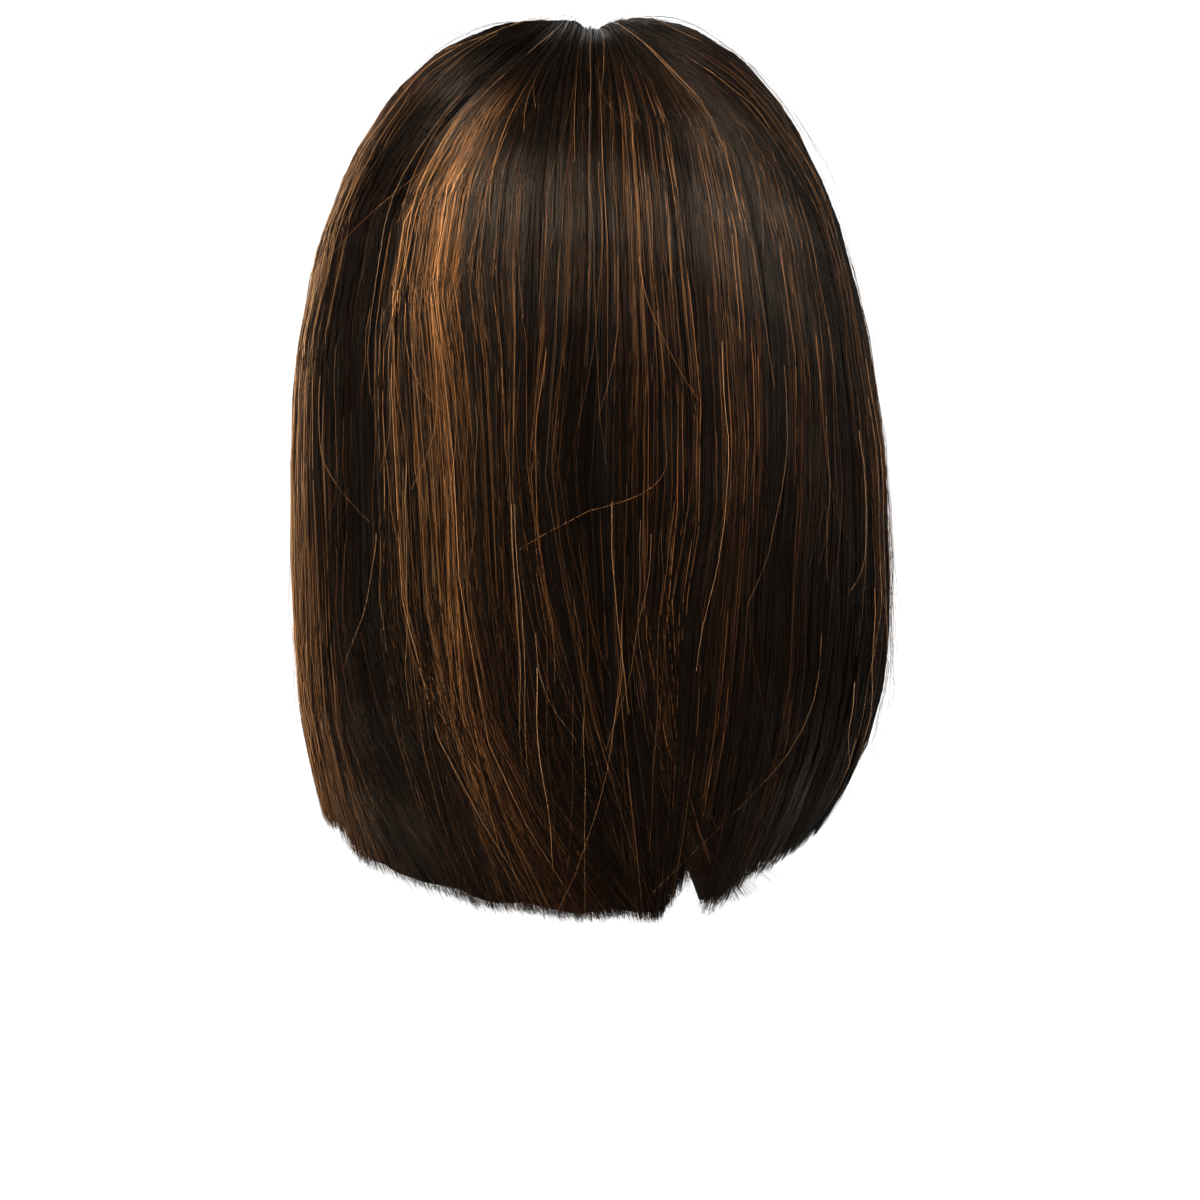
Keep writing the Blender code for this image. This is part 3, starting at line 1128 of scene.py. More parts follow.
@dataclass
class StrandSweep:
    """The Geometry Nodes tree that sweeps centre lines into hairs.

    Every hair gets a cell of the bake map, with margins along its width and length.
    """

    sides: int = 3
    thickness: float = 1.0
    waviness: float = 0.0050
    wave_scale: float = 30.0
    wave_detail: float = 1.0
    bake_columns: int = 256
    bake_rows: int = 8
    width_margin: float = 0.25
    length_margin: float = 0.04
    tree: bpy.types.NodeTree = field(init=False)

    def __post_init__(self) -> None:
        """Builds the tree once."""
        self.tree = bpy.data.node_groups.new("hair_sweep", "GeometryNodeTree")
        face = self.tree.interface
        for name, kind in (
            ("Lines", "Geometry"),
            ("Sides", "Int"),
            ("Thickness", "Float"),
            ("Waviness", "Float"),
            ("Wave Scale", "Float"),
            ("Material", "Material"),
        ):
            face.new_socket(name, in_out="INPUT", socket_type=f"NodeSocket{kind}")
        face.new_socket("Hairs", in_out="OUTPUT", socket_type="NodeSocketGeometry")
        bench = NodeBench(self.tree)
        given = bench.node("NodeGroupInput").outputs
        hairs, across = self._tubes(bench, given, self._waved(bench, given))
        hairs = self._bake_map(bench, hairs, across)
        hairs = bench.add("GeometryNodeSetShadeSmooth", None, {"Geometry": hairs})
        hairs = bench.add("GeometryNodeRealizeInstances", None, {"Geometry": hairs})
        inputs = {"Geometry": hairs, "Material": given["Material"]}
        hairs = bench.add("GeometryNodeSetMaterial", None, inputs)
        bench.node("NodeGroupOutput", None, {"Hairs": hairs})

    def _waved(self, bench: NodeBench, given: bpy.types.NodeOutputs) -> Wire:
        """Lets loose hairs wave a little.

        Args:
            bench: the tree's bench.
            given: the tree's inputs.

        Returns:
            The lines as curves, with their radius.
        """
        inputs = {
            "Vector": bench.add("GeometryNodeInputPosition"),
            "Scale": given["Wave Scale"],
            "Detail": self.wave_detail,
        }
        swirl = bench.add("ShaderNodeTexNoise", None, inputs, "Color")
        inputs = {0: swirl, 1: (0.5, 0.5, 0.5)}
        centred = bench.add("ShaderNodeVectorMath", {"operation": "SUBTRACT"}, inputs)
        amount = bench.named("loose") * Wire(bench, given["Waviness"])
        inputs = {"Geometry": given["Lines"], "Offset": bench.scaled(centred, amount)}
        waved = bench.add("GeometryNodeSetPosition", None, inputs)
        curves = bench.add("GeometryNodeMeshToCurve", None, {"Mesh": waved})
        radius = bench.named("radius") * Wire(bench, given["Thickness"])
        inputs = {"Curve": curves, "Radius": radius}
        return bench.add("GeometryNodeSetCurveRadius", None, inputs)

    def _tubes(
        self, bench: NodeBench, given: bpy.types.NodeOutputs, curves: Wire
    ) -> tuple[Wire, Wire]:
        """Sweeps a ring along the curves.

        Args:
            bench: the tree's bench.
            given: the tree's inputs.
            curves: the hairs' centre lines.

        Returns:
            The hairs, and how far round its ring each point lies.
        """
        inputs = {"Resolution": given["Sides"], "Radius": 1.0}
        ring = bench.add("GeometryNodeCurvePrimitiveCircle", None, inputs)
        keep = bench.node("GeometryNodeCaptureAttribute")
        keep.capture_items.new("FLOAT", "across")
        round_it = bench.add("GeometryNodeSplineParameter")
        bench.fill(keep, {"Geometry": ring, "across": round_it})
        inputs = {
            "Curve": curves,
            "Profile Curve": keep.outputs["Geometry"],
            "Scale": bench.add("GeometryNodeInputRadius"),
            "Fill Caps": True,
        }
        hairs = bench.add("GeometryNodeCurveToMesh", None, inputs)
        return hairs, Wire(bench, keep.outputs["across"])

    def _bake_map(self, bench: NodeBench, hairs: Wire, across: Wire) -> Wire:
        """Stores each hair's place on the bake map.

        Args:
            bench: the tree's bench.
            hairs: the hairs.
            across: how far round its ring each point lies.

        Returns:
            The hairs with the map.
        """
        cell = bench.named("cell", "FLOAT_VECTOR")
        u = self.width_margin + across * (1 - 2 * self.width_margin)
        v = self.length_margin + bench.named("along") * (1 - 2 * self.length_margin)
        spot = bench.add("ShaderNodeCombineXYZ", None, {
            "X": bench.axis(cell, "X") + u / self.bake_columns,
            "Y": bench.axis(cell, "Y") + v / self.bake_rows,
        })
        settings = {"data_type": "FLOAT2", "domain": "CORNER"}
        inputs = {"Geometry": hairs, "Name": "OFBake", "Value": spot}
        return bench.add("GeometryNodeStoreNamedAttribute", settings, inputs)

    def sweep(
        self, name: str, lines: CentreLines, material: bpy.types.Material
    ) -> bpy.types.Object:
        """Sweeps centre lines into one mesh object.

        Args:
            name: the object's name.
            lines: the hairs' centre lines.
            material: the hairs' material.

        Returns:
            The object.
        """
        source = lines.to_object(f"{name}_lines", self.bake_columns, self.bake_rows)
        modifier = source.modifiers.new("sweep", "NODES")
        modifier.node_group = self.tree
        values = {
            "Sides": self.sides,
            "Thickness": self.thickness,
            "Waviness": self.waviness,
            "Wave Scale": self.wave_scale,
            "Material": material,
        }
        for item in self.tree.interface.items_tree:
            if item.in_out == "INPUT" and item.name in values:
                modifier[item.identifier] = values[item.name]
        graph = bpy.context.evaluated_depsgraph_get()
        mesh = bpy.data.meshes.new_from_object(source.evaluated_get(graph))
        mesh.name = name
        old = source.data
        bpy.data.objects.remove(source)
        bpy.data.meshes.remove(old)
        return linked(name, mesh)


# Single hairs

STRAND_STEPS = np.array([
    0.0, 0.03, 0.075, 0.13, 0.19, 0.26, 0.34, 0.43, 0.52, 0.62, 0.73, 0.84, 0.93, 1.0,
])

# Factors that scatter a wisp's number into a value that looks random
WISP_TURN, USE_TURN, USE_SHIFT, SCATTER = 12.9898, 3.17, 78.233, 43758.5453


class Use(IntEnum):
    """What a wisp's steady random value is used for."""

    DRIFT = 1
    DRIFT_PHASE = 2
    CUT = 3
    DEPTH = 4
    LUCK = 5
    SHADE = 6
    CROWN = 7
    SWEEP = 8


class Layer(Enum):
    """Where in a tress a set of hairs lies."""

    SURFACE = "surface"
    UNDER = "under"
    CORE = "core"
    INNER = "inner"


LAYER_SHARES = {Layer.SURFACE: 0.56, Layer.UNDER: 0.24, Layer.CORE: 0.08, Layer.INNER: 0.12}


@dataclass
class Draw:
    """Random values, one for each hair, and steady ones for each wisp of hairs."""

    step_jitter: float = 0.5
    wisp_pitch: float = 0.0075
    rng: np.random.Generator = field(default_factory=lambda: np.random.default_rng(SEED))

    def even(self, count: int, low: float = 0.0, high: float = 1.0) -> np.ndarray:
        """Even values in a column."""
        return self.rng.uniform(low, high, (count, 1))

    def chance(self, count: int, share: float) -> np.ndarray:
        """True for about a share of the hairs."""
        return self.even(count) < share

    def normal(self, count: int, middle: float = 0.0, spread: float = 1.0) -> np.ndarray:
        """Values of a normal curve in a column."""
        return self.rng.normal(middle, spread, (count, 1))

    def wisp(self, side: np.ndarray, use: Use) -> np.ndarray:
        """A steady random value for the wisp that a hair belongs to.

        Args:
            side: places round the head.
            use: what the value is for.

        Returns:
            Values from -1 to 1.
        """
        index = np.floor(side / self.wisp_pitch)
        turned = np.sin(index * (WISP_TURN + use * USE_TURN) + use * USE_SHIFT) * SCATTER
        return 2 * (turned - np.floor(turned)) - 1

    def steps(self, count: int) -> np.ndarray:
        """Places of the points along each hair, each hair's own.

        Args:
            count: how many hairs there are.

        Returns:
            Rows of places from 0 to 1.
        """
        gaps = np.diff(STRAND_STEPS)
        shift = (self.rng.random((count, len(STRAND_STEPS) - 2)) - 0.5) * self.step_jitter
        steps = np.repeat(STRAND_STEPS[None, :], count, axis=0)
        steps[:, 1:-1] += shift * np.minimum(gaps[:-1], gaps[1:])
        return steps


class Strands(NamedTuple):
    """Hairs that are being laid, one a row.

    base is where each hangs round the head, start the share of the fall where it
    begins, steps the places of its points along it and share the same in the fall.
    """

    layer: Layer
    base: np.ndarray
    start: np.ndarray
    steps: np.ndarray

    @property
    def share(self) -> np.ndarray:
        """Shares of the fall of the hairs' points."""
        return self.start + (1 - self.start) * self.steps

    @property
    def inside(self) -> bool:
        """Whether they lie between the tress's two faces, near the tips."""
        return self.layer in (Layer.CORE, Layer.INNER)


@dataclass(frozen=True)
class Lay:
    """How single hairs stray from the places where they hang.

    Hairs gather towards the middle of their wisp, wisps drift, hairs stray in waves,
    and the tips of the back sweep to the right, or a little to the left where they
    hang right of the gap. Places and distances are round the head, those of
    back_places to the right, and turns and phases are in radians.
    """

    most_gather: float = 0.4
    gather_start: float = 0.25
    gather_span: float = 0.5
    release: float = 0.8
    release_start: float = 0.8
    release_span: float = 0.2
    drift: float = 0.014
    drift_turns: float = 4.2
    drift_phase: float = 3.0
    wild_share: float = 0.26
    wild_stray: float = 0.009
    calm_stray: float = 0.0035
    stray_turns: Span = (2.0, 8.0)
    any_phase: float = 6.3
    free_after: float = 0.4
    tip_sweep: float = 0.42
    least_sweep: float = 0.45
    least_wisp_sweep: float = 0.25
    held_sweep: float = 0.4
    sweep_start: float = 0.60
    sweep_power: float = 3.0
    swept_places: Window = Window(-0.20, 0.15, 0.36, 0.34)
    back_sweep: float = 0.25
    back_places: Window = Window(0.26, 0.05, 0.5, 0.3)

    def gathered(self, draw: Draw, hairs: Strands) -> np.ndarray:
        """How far hairs are drawn to the middle of their wisp.

        Args:
            draw: the random values.
            hairs: the hairs.

        Returns:
            Distances round the head.
        """
        home = (np.floor(hairs.base / draw.wisp_pitch) + 0.5) * draw.wisp_pitch
        pull = draw.even(len(hairs.base), 0.0, self.most_gather)
        pull = pull * rise(hairs.share, self.gather_start, self.gather_span)
        let_go = rise(hairs.share, self.release_start, self.release_span)
        return (home - hairs.base) * (pull * (1 - self.release * let_go))

    def strayed(self, draw: Draw, hairs: Strands) -> np.ndarray:
        """How far wisps drift and hairs stray from them.

        Args:
            draw: the random values.
            hairs: the hairs.

        Returns:
            Distances round the head.
        """
        count, share = len(hairs.base), hairs.share
        drift_phase = self.drift_phase * draw.wisp(hairs.base, Use.DRIFT_PHASE)
        drift = self.drift * draw.wisp(hairs.base, Use.DRIFT)
        drift = drift * np.sin(self.drift_turns * share + drift_phase)
        turns = draw.even(count, *self.stray_turns) * share
        turns = turns + draw.even(count, 0.0, self.any_phase)
        wild = np.where(draw.chance(count, self.wild_share), self.wild_stray, self.calm_stray)
        stray = draw.normal(count) * wild * np.sin(turns)
        return (drift + stray) * rise(share, 0.0, self.free_after)

    def swept(self, draw: Draw, hairs: Strands) -> np.ndarray:
        """How far the tips sweep to the right.

        Args:
            draw: the random values.
            hairs: the hairs.

        Returns:
            Distances round the head.
        """
        past = (hairs.share - self.sweep_start) / (1 - self.sweep_start)
        near_hem = np.clip(past, 0, None) ** self.sweep_power
        clump = np.abs(draw.wisp(hairs.base, Use.SWEEP))
        clump = self.least_wisp_sweep + (1 - self.least_wisp_sweep) * clump
        amount = self.tip_sweep * clump * draw.even(len(hairs.base), self.least_sweep, 1.0)
        if hairs.layer is not Layer.SURFACE:
            amount = amount * self.held_sweep
        back = self.back_sweep * self.back_places.at(-hairs.base)
        return amount * near_hem * (self.swept_places.at(hairs.base) - back)

    def places(self, draw: Draw, hairs: Strands) -> np.ndarray:
        """Where each hair lies round the head along its fall.

        Args:
            draw: the random values.
            hairs: the hairs.

        Returns:
            Places round the head, one row a hair.
        """
        side = hairs.base + self.gathered(draw, hairs) + self.strayed(draw, hairs)
        return combed(side - self.swept(draw, hairs), hairs.share)


@dataclass(frozen=True)
class TipCut:
    """How unevenly single hairs end, and how the sides of the gap are feathered."""

    wisp_cut: float = 0.0006
    middle: float = -0.0003
    spread: float = 0.0009
    notch_width: float = 0.05
    notch_feather: float = 0.004
    notch_cut: float = 0.003
    short_share: float = 0.12
    short_cut: Span = (0.004, 0.04)
    limits: Span = (-0.05, 0.004)

    def fall(self, draw: Draw, hairs: Strands, tip: np.ndarray, notch: float) -> np.ndarray:
        """How much lower than the hem each hair ends.

        Args:
            draw: the random values.
            hairs: the hairs.
            tip: places of their tips round the head.
            notch: place of the gap in the hem.

        Returns:
            Lengths in metres, negative where it is shorter.
        """
        count = len(hairs.base)
        cut = self.wisp_cut * draw.wisp(hairs.base, Use.CUT)
        cut = cut + draw.normal(count, self.middle, self.spread)
        near = bell(tip, notch, self.notch_width)
        feather = draw.rng.exponential(self.notch_feather, (count, 1))
        cut = cut + near * feather - self.notch_cut * near
        short = draw.chance(count, self.short_share)
        return np.clip(cut - short * draw.even(count, *self.short_cut), *self.limits)


@dataclass(frozen=True)
class Depths:
    """How deep single hairs lie under the outer face, in metres.

    Hairs under the surface start deeper by cover. Near the roots all lie shallower,
    but wisps stand at different levels over the crown. Hairs inside the tress lie at
    a share of the way to its inner face.
    """

    surface: float = 0.0020
    surface_power: float = 1.5
    under: Span = (0.0010, 0.0042)
    cover: float = 0.003
    cover_span: float = 0.15
    wisp: float = 0.0005
    wisp_start: float = 0.1
    wisp_span: float = 0.4
    root_seat: float = 0.15
    root_span: float = 0.05
    crown: float = 0.0011
    crown_fall: Window = Window(0.0, 0.03, 0.05, 0.2)
    inner_gap: float = 0.0004
    core: Span = (0.2, 0.8)
    inner_spread: float = 0.06

    def under_face(self, draw: Draw, hairs: Strands) -> np.ndarray:
        """Depths of the hairs of the surface or under it.

        Args:
            draw: the random values.
            hairs: the hairs.

        Returns:
            Depths in metres.
        """
        count, share = len(hairs.base), hairs.share
        if hairs.layer is Layer.SURFACE:
            depth = self.surface * draw.even(count) ** self.surface_power
        else:
            covered = 1 - rise(share, hairs.start, self.cover_span)
            depth = draw.even(count, *self.under) + self.cover * covered
        wisp = self.wisp * (1 + draw.wisp(hairs.base, Use.DEPTH))
        depth = depth + wisp * rise(share, self.wisp_start, self.wisp_span)
        crown = self.crown * (1 + draw.wisp(hairs.base, Use.CROWN))
        seated = smooth_step(share / self.root_span + self.root_seat)
        return depth * seated + crown * self.crown_fall.at(share)

    def across(self, draw: Draw, hairs: Strands) -> np.ndarray:
        """Where the hairs inside the tress lie between its two faces.

        Args:
            draw: the random values.
            hairs: the hairs.

        Returns:
            0 at the outer face and 1 at the inner one, in a column.
        """
        count = len(hairs.base)
        across = draw.even(count, *self.core) if hairs.layer is Layer.CORE else 1.0
        return across * (1 - self.inner_spread * draw.even(count))


@dataclass(frozen=True)
class Looks:
    """How single hairs differ in colour and thickness.

    Luck decides which hairs a streak lightens. Hairs down the middle of the back are
    darker from part of the way down the fall, as painted shade of the valley there, and
    they are thinner at both ends and where they are light.
    """

    wisp_luck: float = 0.15
    own_luck: float = 0.7
    gold_spread: float = 0.28
    inside_tone: float = 0.6
    shade_middle: float = -0.2
    shade_spread: float = 0.6
    wisp_shade: float = 0.25
    shades: Span = (0.15, 3.0)
    # Painted shade: where, how wide, from how far down and how much the hairs in the valley down the
    # middle of the back are darkened
    dark_place: float = 0.005
    dark_width: float = 0.045
    dark_start: float = 0.4
    dark_span: float = 0.15
    painted_shade_strength: float = 0.6
    radius: float = 0.00015
    radii: Span = (0.55, 1.15)
    root_radius: float = 0.5
    root_span: float = 0.06
    tip_thinning: float = 0.6
    tip_start: float = 0.88
    light_thinning: float = 0.3
    light_tone: float = 0.5
    looseness: Span = (0.2, 1.0)
    loose_after: float = 0.5

    def lines(self, draw: Draw, hairs: Strands, points: np.ndarray) -> CentreLines:
        """Gives laid hairs their colour, thickness and looseness.

        Args:
            draw: the random values.
            hairs: the hairs.
            points: their points.

        Returns:
            The centre lines.
        """
        base, share, count = hairs.base, hairs.share, len(hairs.base)
        luck = self.wisp_luck + self.wisp_luck * draw.wisp(base, Use.LUCK)
        tone, gold = streak_tone(base, share, luck + self.own_luck * draw.even(count))
        gold = np.clip(gold + draw.normal(count, 0.0, self.gold_spread), 0.0, 1.0)
        if hairs.inside:
            tone = tone * self.inside_tone
        shade = draw.normal(count, self.shade_middle, self.shade_spread)
        shade = np.exp(shade + self.wisp_shade * draw.wisp(base, Use.SHADE))
        # Painted shade: darkens the hairs in the valley down the middle of the back
        dark = bell(base, self.dark_place, self.dark_width)
        dark = dark * rise(share, self.dark_start, self.dark_span)
        shade = np.clip(shade, *self.shades) * (1 - self.painted_shade_strength * dark)
        taper = self.root_radius + (1 - self.root_radius) * rise(hairs.steps, 0.0, self.root_span)
        tip = rise(hairs.steps, self.tip_start, 1 - self.tip_start)
        radius = self.radius * draw.even(count, *self.radii) * (
            taper * (1 - self.tip_thinning * tip)
        )
        radius = radius * (1 - self.light_thinning * rise(tone, 0.0, self.light_tone))
        loose = draw.even(count, *self.looseness) * rise(share, 0.0, self.loose_after)
        return CentreLines(points, radius, tone, gold, shade, loose, hairs.steps)


@dataclass(frozen=True)
class Groom:
    """Lays the single hairs of a tress in their layers.

    A tress that reaches past one_sided_from belongs to one side of the head, and its
    hairs keep off the middle by middle_margin.
    """

    form: HairForm
    hem: Hem
    relief: Relief
    draw: Draw
    lay: Lay = Lay()
    cut: TipCut = TipCut()
    depths: Depths = Depths()
    looks: Looks = Looks()
    under_starts: Span = (0.0, 0.3)
    inside_starts: Span = (0.42, 0.56)
    one_sided_from: float = 0.5
    middle_margin: float = 0.0008

    def strands(self, tress: Tress, layer: Layer, count: int) -> Strands:
        """Hairs spread evenly over a tress.

        Args:
            tress: the tress.
            layer: where in it the hairs lie.
            count: how many there are.

        Returns:
            The hairs.
        """
        low, high = sorted((tress.start, tress.end))
        spread = np.arange(count)[:, None] + self.draw.even(count)
        base = low + (high - low) * spread / count
        if layer is Layer.SURFACE:
            start = np.zeros((count, 1))
        else:
            starts = self.under_starts if layer is Layer.UNDER else self.inside_starts
            start = self.draw.even(count, *starts)
        return Strands(layer, base, start, self.draw.steps(count))

    def lines(self, tress: Tress, layer: Layer, count: int) -> CentreLines:
        """The centre lines of one layer of a tress's hairs.

        Args:
            tress: the tress.
            layer: where in it the hairs lie.
            count: how many there are.

        Returns:
            The centre lines.
        """
        form, hairs = self.form, self.strands(tress, layer, count)
        share, side = hairs.share, self.lay.places(self.draw, hairs)
        if max(abs(tress.start), abs(tress.end)) > self.one_sided_from:
            sign = np.sign(tress.start + tress.end)
            side = sign * np.clip(sign * side, self.middle_margin, 1.0)
        tip = side[:, -1:]
        cut = self.cut.fall(self.draw, hairs, tip, self.hem.notch_place)
        fall = self.hem.fall(tress, tip, form.hair_length) + cut
        outer = form.outer(side, share, fall)
        direction, _ = form.outwards(outer)
        if hairs.inside:
            inner = form.inner(side, share, fall) + direction * self.depths.inner_gap
            points = outer + (inner - outer) * self.depths.across(self.draw, hairs)[..., None]
        else:
            depth = self.depths.under_face(self.draw, hairs)
            depth = depth + self.relief.depth(hairs.base, share)
            points = outer - direction * depth[..., None]
        return self.looks.lines(self.draw, hairs, points)


@dataclass(frozen=True)
class LooseHairs:
    """Fine single hairs that stand off the surface all round, and wisps on the right rim.

    Places and bends are round the head, starts and lengths are shares of the fall,
    and lifts, the wave and radii are in metres.
    """

    count: int = 320
    places: Span = (-0.97, 0.97)
    edge: float = 0.995
    starts: Span = (0.0, 0.85)
    start_power: float = 1.2
    lengths: Span = (0.08, 0.34)
    rim_share: float = 0.16
    rim_places: Span = (-0.80, -0.56)
    rim_starts: Span = (0.28, 0.5)
    rim_length: float = 0.14
    wild_share: float = 0.16
    wild_bend: float = 0.13
    calm_bend: float = 0.035
    bend_power: float = 2.4
    lifts: Span = (-0.0005, 0.0055)
    lift_power: float = 1.4
    wave: float = 0.0012
    wave_turns: Span = (4.0, 12.0)
    luck: float = 0.22
    light_share: float = 0.22
    light_tone: float = 0.66
    light_gold: float = 0.85
    shades: Span = (0.6, 2.6)
    radii: Span = (0.00005, 0.00010)
    thinning: float = 0.6
    looseness: float = 0.8

    def lines(self, draw: Draw, form: HairForm) -> CentreLines:
        """Lays the loose hairs.

        Args:
            draw: the random values.
            form: the hair's form.

        Returns:
            Their centre lines.
        """
        count = self.count
        base = draw.even(count, *self.places)
        steps = draw.steps(count)
        rim = draw.chance(count, self.rim_share)
        base = np.where(rim, draw.even(count, *self.rim_places), base)
        start = draw.even(count, *self.starts) ** self.start_power
        start = np.where(rim, draw.even(count, *self.rim_starts), start)
        length = draw.even(count, *self.lengths) + self.rim_length * rim
        share = start + np.minimum(length, 1.0 - start) * steps
        wide = np.where(draw.chance(count, self.wild_share), self.wild_bend, self.calm_bend)
        bend = draw.normal(count) * wide * steps**self.bend_power
        side = np.clip(combed(base + bend, share), -self.edge, self.edge)
        outer = form.outer(side, share)
        direction, _ = form.outwards(outer)
        lift = draw.even(count, *self.lifts) * steps**self.lift_power
        wave = self.wave * np.sin(draw.even(count, *self.wave_turns) * steps)
        points = outer + direction * (lift + wave * steps)[..., None]
        tone, gold = streak_tone(base, share, self.luck * draw.even(count))
        light = draw.chance(count, self.light_share)
        tone = np.maximum(tone, self.light_tone * light)
        gold = np.where(light, self.light_gold, gold)
        level = np.ones_like(share)
        shade = draw.even(count, *self.shades) * level
        radius = draw.even(count, *self.radii) * (1 - self.thinning * steps)
        return CentreLines(points, radius, tone, gold, shade, self.looseness * level, steps)


# Tresses


def shell_faces(rows: int, columns: int) -> list[tuple[int, ...]]:
    """Faces of a closed shell between two grids of points.

    Args:
        rows: points of each grid from top to bottom.
        columns: points of each grid from side to side.

    Returns:
        Faces over the points of the front grid and then of the back one.
    """
    front = np.arange(rows * columns).reshape(rows, columns)
    back = front + rows * columns
    faces: list[tuple[int, ...]] = []
    for grid, turned in ((front, False), (back, True)):
        corners = [grid[:-1, :-1], grid[:-1, 1:], grid[1:, 1:], grid[1:, :-1]]
        quads = np.stack(corners, -1).reshape(-1, 4)
        faces += [tuple(q[::-1] if turned else q) for q in quads.tolist()]
    ring = np.concatenate([front[0, :-1], front[:-1, -1], front[-1, :0:-1], front[:0:-1, 0]])
    rim = ring + rows * columns
    for a, b, c, d in zip(ring, np.roll(ring, -1), np.roll(rim, -1), rim):
        faces.append((int(d), int(c), int(b), int(a)))
    return faces


@dataclass(frozen=True)
class UnderCoat:
    """The dense hair of a tress, as a closed shell a little inside its solid."""

    inset: float = 0.0020
    hem_inset: float = 0.0026
    inner_gap: float = 0.0006
    root_seat: float = 0.2
    root_span: float = 0.04
    columns_per_lock: int = 10
    rows: int = 36
    row_power: float = 0.9
    luck: float = 0.25
    tone_share: float = 0.3
    inner_tone: float = 0.5

    def build(self, tress: Tress, groom: Groom, material: bpy.types.Material) -> bpy.types.Object:
        """Builds the under coat of a tress.

        Args:
            tress: the tress.
            groom: how its hairs are laid.
            material: the under coat's material.

        Returns:
            The object.
        """
        form = groom.form
        columns = tress.locks * self.columns_per_lock
        base = np.linspace(tress.start, tress.end, columns + 1)[None, :]
        share = np.linspace(0.0, 1.0, self.rows + 1)[:, None] ** self.row_power
        fall = groom.hem.fall(tress, base, form.hair_length) - self.hem_inset
        side = combed(base, share)
        outer = form.outer(side, share, fall)
        direction, _ = form.outwards(outer)
        inset = self.inset + groom.relief.depth(base, share)
        inset = inset * smooth_step(share / self.root_span + self.root_seat)
        inner = form.inner(side, share, fall) + direction * self.inner_gap
        outer = outer - direction * inset[..., None]
        points = np.concatenate([outer.reshape(-1, 3), inner.reshape(-1, 3)])
        faces = shell_faces(self.rows + 1, columns + 1)
        coat = mesh_object(f"{tress.name}_coat", points, faces, material)
        self._colour(coat.data, *np.broadcast_arrays(base, share))
        return coat

    def _colour(self, mesh: bpy.types.Mesh, wide: np.ndarray, tall: np.ndarray) -> None:
        """Stores the tone and gold of the streaks, and the map of the fall.

        Args:
            mesh: the under coat's mesh.
            wide: places round the head of its front points.
            tall: their shares of the fall.
        """
        tone, gold = streak_tone(wide, tall, np.full(wide.shape, self.luck))
        tone, gold = tone.ravel(), gold.ravel()
        both = np.concatenate([tone, self.inner_tone * tone])
        put_attribute(mesh, "tone", both * self.tone_share)
        put_attribute(mesh, "gold", np.concatenate([gold, gold]))
        layer = mesh.uv_layers.new(name="Fall")
        corner = np.empty(len(mesh.loops), dtype=np.int32)
        mesh.loops.foreach_get("vertex_index", corner)
        place = np.stack([wide.ravel(), tall.ravel()], -1)
        place = np.concatenate([place, place])[corner]
        layer.data.foreach_set("uv", place.astype(np.float32).ravel())


@dataclass
class TressDresser:
    """Makes the pieces of hair: an under coat and single hairs for each tress."""

    groom: Groom
    coat: UnderCoat
    sweep: StrandSweep
    finish: HairFinish
    hair_material: bpy.types.Material = field(init=False)
    coat_material: bpy.types.Material = field(init=False)

    def __post_init__(self) -> None:
        """Makes the two materials once."""
        self.hair_material = self.finish.strands()
        self.coat_material = self.finish.under_coat()

    def dress(self, tress: Tress, slot: Finish) -> None:
        """Makes a tress's pieces and lets them stand for its solid.

        Args:
            tress: the tress.
            slot: not used.
        """
        coat = self.coat.build(tress, self.groom, self.coat_material)
        sets = [
            self.groom.lines(tress, layer, int(tress.hairs * share))
            for layer, share in LAYER_SHARES.items()
        ]
        lines = CentreLines.joined(sets)
        hairs = self.sweep.sweep(f"{tress.name}_hairs", lines, self.hair_material)
        for piece in (coat, hairs):
            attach(piece, BODY)
        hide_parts(tress.name)
        LOG.info("%s: %d hairs, %d faces", tress.name, tress.hairs, len(hairs.data.polygons))

    def loosen(self, loose: LooseHairs, slot: Finish) -> None:
        """Makes the piece of loose hairs.

        Args:
            loose: the loose hairs.
            slot: not used.
        """
        lines = loose.lines(self.groom.draw, self.groom.form)
        hairs = self.sweep.sweep("flyaway_hairs", lines, self.hair_material)
        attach(hairs, BODY)
        LOG.info("loose hairs: %d", loose.count)


# Cap and lace


@dataclass(frozen=True)
class CapDresser:
    """Gives the cap and the lace front their nets."""

    cap: NetFinish = WEFTED_CAP_NET
    lace_front: NetFinish = TIED_LACE

    def dress(self) -> None:
        """Puts the nets on the two CAD nodes that the fields are named for."""
        for item in fields(self):
            obj = bpy.data.objects[item.name]
            obj.data.materials.clear()
            obj.data.materials.append(getattr(self, item.name).material())
            LOG.info("%s: net", item.name)


# Studio


@dataclass(frozen=True)
class Softbox:
    """An area light, aimed at the wig, with its power in watts and spread in degrees."""

    name: str
    place: Triple
    size: tuple[float, float]
    power: float
    spread: float = 45.0
    colour: Colour = (1.0, 1.0, 1.0)

    def build(self, middle: float) -> None:
        """Adds the light.

        Args:
            middle: level of the wig's middle.
        """
        data = bpy.data.lights.new(self.name, "AREA")
        data.shape = "RECTANGLE"
        data.size, data.size_y = self.size
        data.energy = self.power
        data.spread = math.radians(self.spread)
        data.color = self.colour
        light = linked(self.name, data)
        light.location = self.place
        light.rotation_euler = vector_angles(np.array([0.0, 0.0, middle]) - self.place)


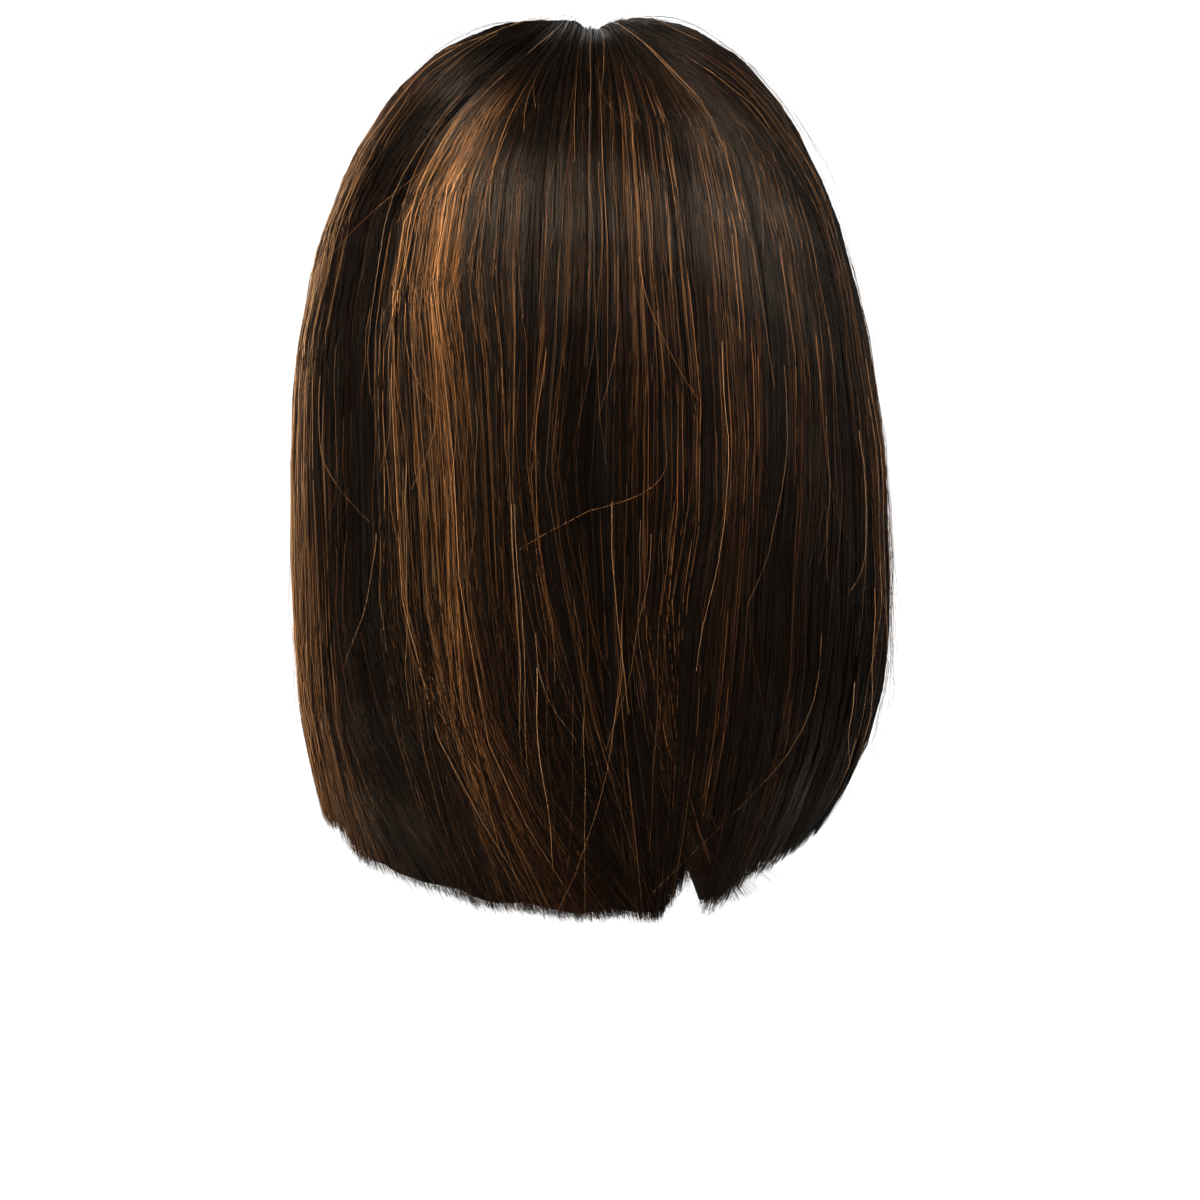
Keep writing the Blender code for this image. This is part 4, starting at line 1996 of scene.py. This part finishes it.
@dataclass(frozen=True)
class Studio:
    """Floor, backdrop, lights and the camera of the photo."""

    scale: float = 0.0004
    frame_pixels: int = 1200
    centre_column: float = 590.0
    top_row: float = 16.0
    top_level: float = 0.020
    distance: float = 4.5
    sensor_width: float = 36.0
    clip: Span = (0.05, 20.0)
    floor_drop: float = 0.075
    floor_reach: float = 4.0
    floor_corners: int = 48
    floor_grey: float = 0.45
    floor_glow: float = 0.95
    floor_roughness: float = 0.9
    floor_specular: float = 0.1
    air_seen: float = 1.15
    air_behind: float = 0.36
    air_before: float = 0.03
    air_turn: Span = (-0.75, 0.0)
    softboxes: tuple[Softbox, ...] = (
        Softbox(name="key", place=(0.45, 1.85, 0.82), size=(1.0, 0.5), power=10.5),
        Softbox(name="rim_right", place=(-1.7, -0.1, 0.60), size=(0.5, 0.9), power=1.2),
        Softbox(
            name="rim_left",
            place=(1.6, 0.1, 0.45),
            size=(0.5, 0.9),
            power=3.4,
            colour=(1.0, 0.95, 0.88),
        ),
        Softbox(
            name="front",
            place=(0.2, -1.8, 0.8),
            size=(1.0, 1.0),
            power=18.0,
            spread=180.0,
        ),
    )

    def build(self, top: float, bottom: float) -> None:
        """Builds all of it.

        Args:
            top: level of the object's top.
            bottom: level of its lowest tip.
        """
        self._floor(bottom - self.floor_drop)
        for box in self.softboxes:
            box.build(0.5 * (top + bottom))
        self._camera()
        self._air()
        bpy.context.scene.view_settings.view_transform = "Standard"

    def _floor(self, level: float) -> None:
        """A plain pale round floor that glows for the camera alone.

        Args:
            level: its height.
        """
        turns = math.tau * np.arange(self.floor_corners) / self.floor_corners
        across, along = self.floor_reach * np.cos(turns), self.floor_reach * np.sin(turns)
        points = np.stack([across, along, np.full(self.floor_corners, level)], -1)
        material, bench, shader = new_material("pale_paper")
        seen = bench.add("ShaderNodeLightPath", output="Is Camera Ray")
        bench.fill(shader, {
            "Base Color": (self.floor_grey, self.floor_grey, self.floor_grey, 1.0),
            "Roughness": self.floor_roughness,
            "Specular IOR Level": self.floor_specular,
            "Emission Color": bench.colour_mix(seen, (0.0, 0.0, 0.0), (1.0, 1.0, 1.0)),
            "Emission Strength": self.floor_glow,
        })
        mesh_object("floor", points, [tuple(range(self.floor_corners))], material)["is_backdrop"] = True

    def _camera(self) -> None:
        """The camera, level with the middle of the photo and behind the wig."""
        data = bpy.data.cameras.new("camera")
        half = self.scale * self.frame_pixels / 2
        data.sensor_width = self.sensor_width
        data.lens = self.sensor_width / 2 / (half / self.distance)
        data.clip_start, data.clip_end = self.clip
        camera = linked("camera", data)
        middle = self.frame_pixels / 2
        across = -(middle - self.centre_column) * self.scale
        level = self.top_level - (middle - self.top_row) * self.scale
        camera.location = (across, self.distance, level)
        camera.rotation_euler = (math.pi / 2, 0.0, math.pi)
        bpy.context.scene.camera = camera

    def _air(self) -> None:
        """White air that is bright behind the wig and dim before it."""
        world = bpy.data.worlds.new("studio_air")
        world.use_nodes = True
        bench = NodeBench(world.node_tree)
        place = bench.add("ShaderNodeTexCoord", output="Generated")
        before = bench.axis(place, "Y").ramp(*self.air_turn)
        lit = self.air_behind + (self.air_before - self.air_behind) * before
        seen = bench.add("ShaderNodeLightPath", output="Is Camera Ray")
        bench.fill(world.node_tree.nodes["Background"], {
            "Strength": lit + (self.air_seen - lit) * seen,
            "Color": (1.0, 1.0, 1.0, 1.0),
        })
        bpy.context.scene.world = world


def vector_angles(aim: np.ndarray) -> tuple[float, float, float]:
    """Turns a light's own -Z along a direction.

    Args:
        aim: the direction.

    Returns:
        Euler angles.
    """
    flat = math.hypot(aim[0], aim[1])
    return (math.atan2(flat, -aim[2]), 0.0, math.atan2(aim[1], aim[0]) - math.pi / 2)


def main() -> None:
    """Builds every piece in order."""
    logging.basicConfig(level=logging.INFO, format="%(message)s")
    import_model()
    solid_box = [list(corner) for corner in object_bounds()]
    top, bottom = solid_box[1][2], solid_box[0][2]
    groom = Groom(HairForm(), Hem(), Relief(), Draw())
    dresser = TressDresser(groom, UnderCoat(), StrandSweep(), HairFinish())
    for tress in TRESSES:
        lit = tress.name == HIGHLIGHTED_TRESS
        dresser.dress(tress, Finish.HIGHLIGHTED_HAIR if lit else Finish.DARK_HAIR)
    dresser.loosen(LooseHairs(), Finish.DARK_HAIR)
    CapDresser().dress()
    Studio().build(top, bottom)


if __name__ == "__main__":
    main()
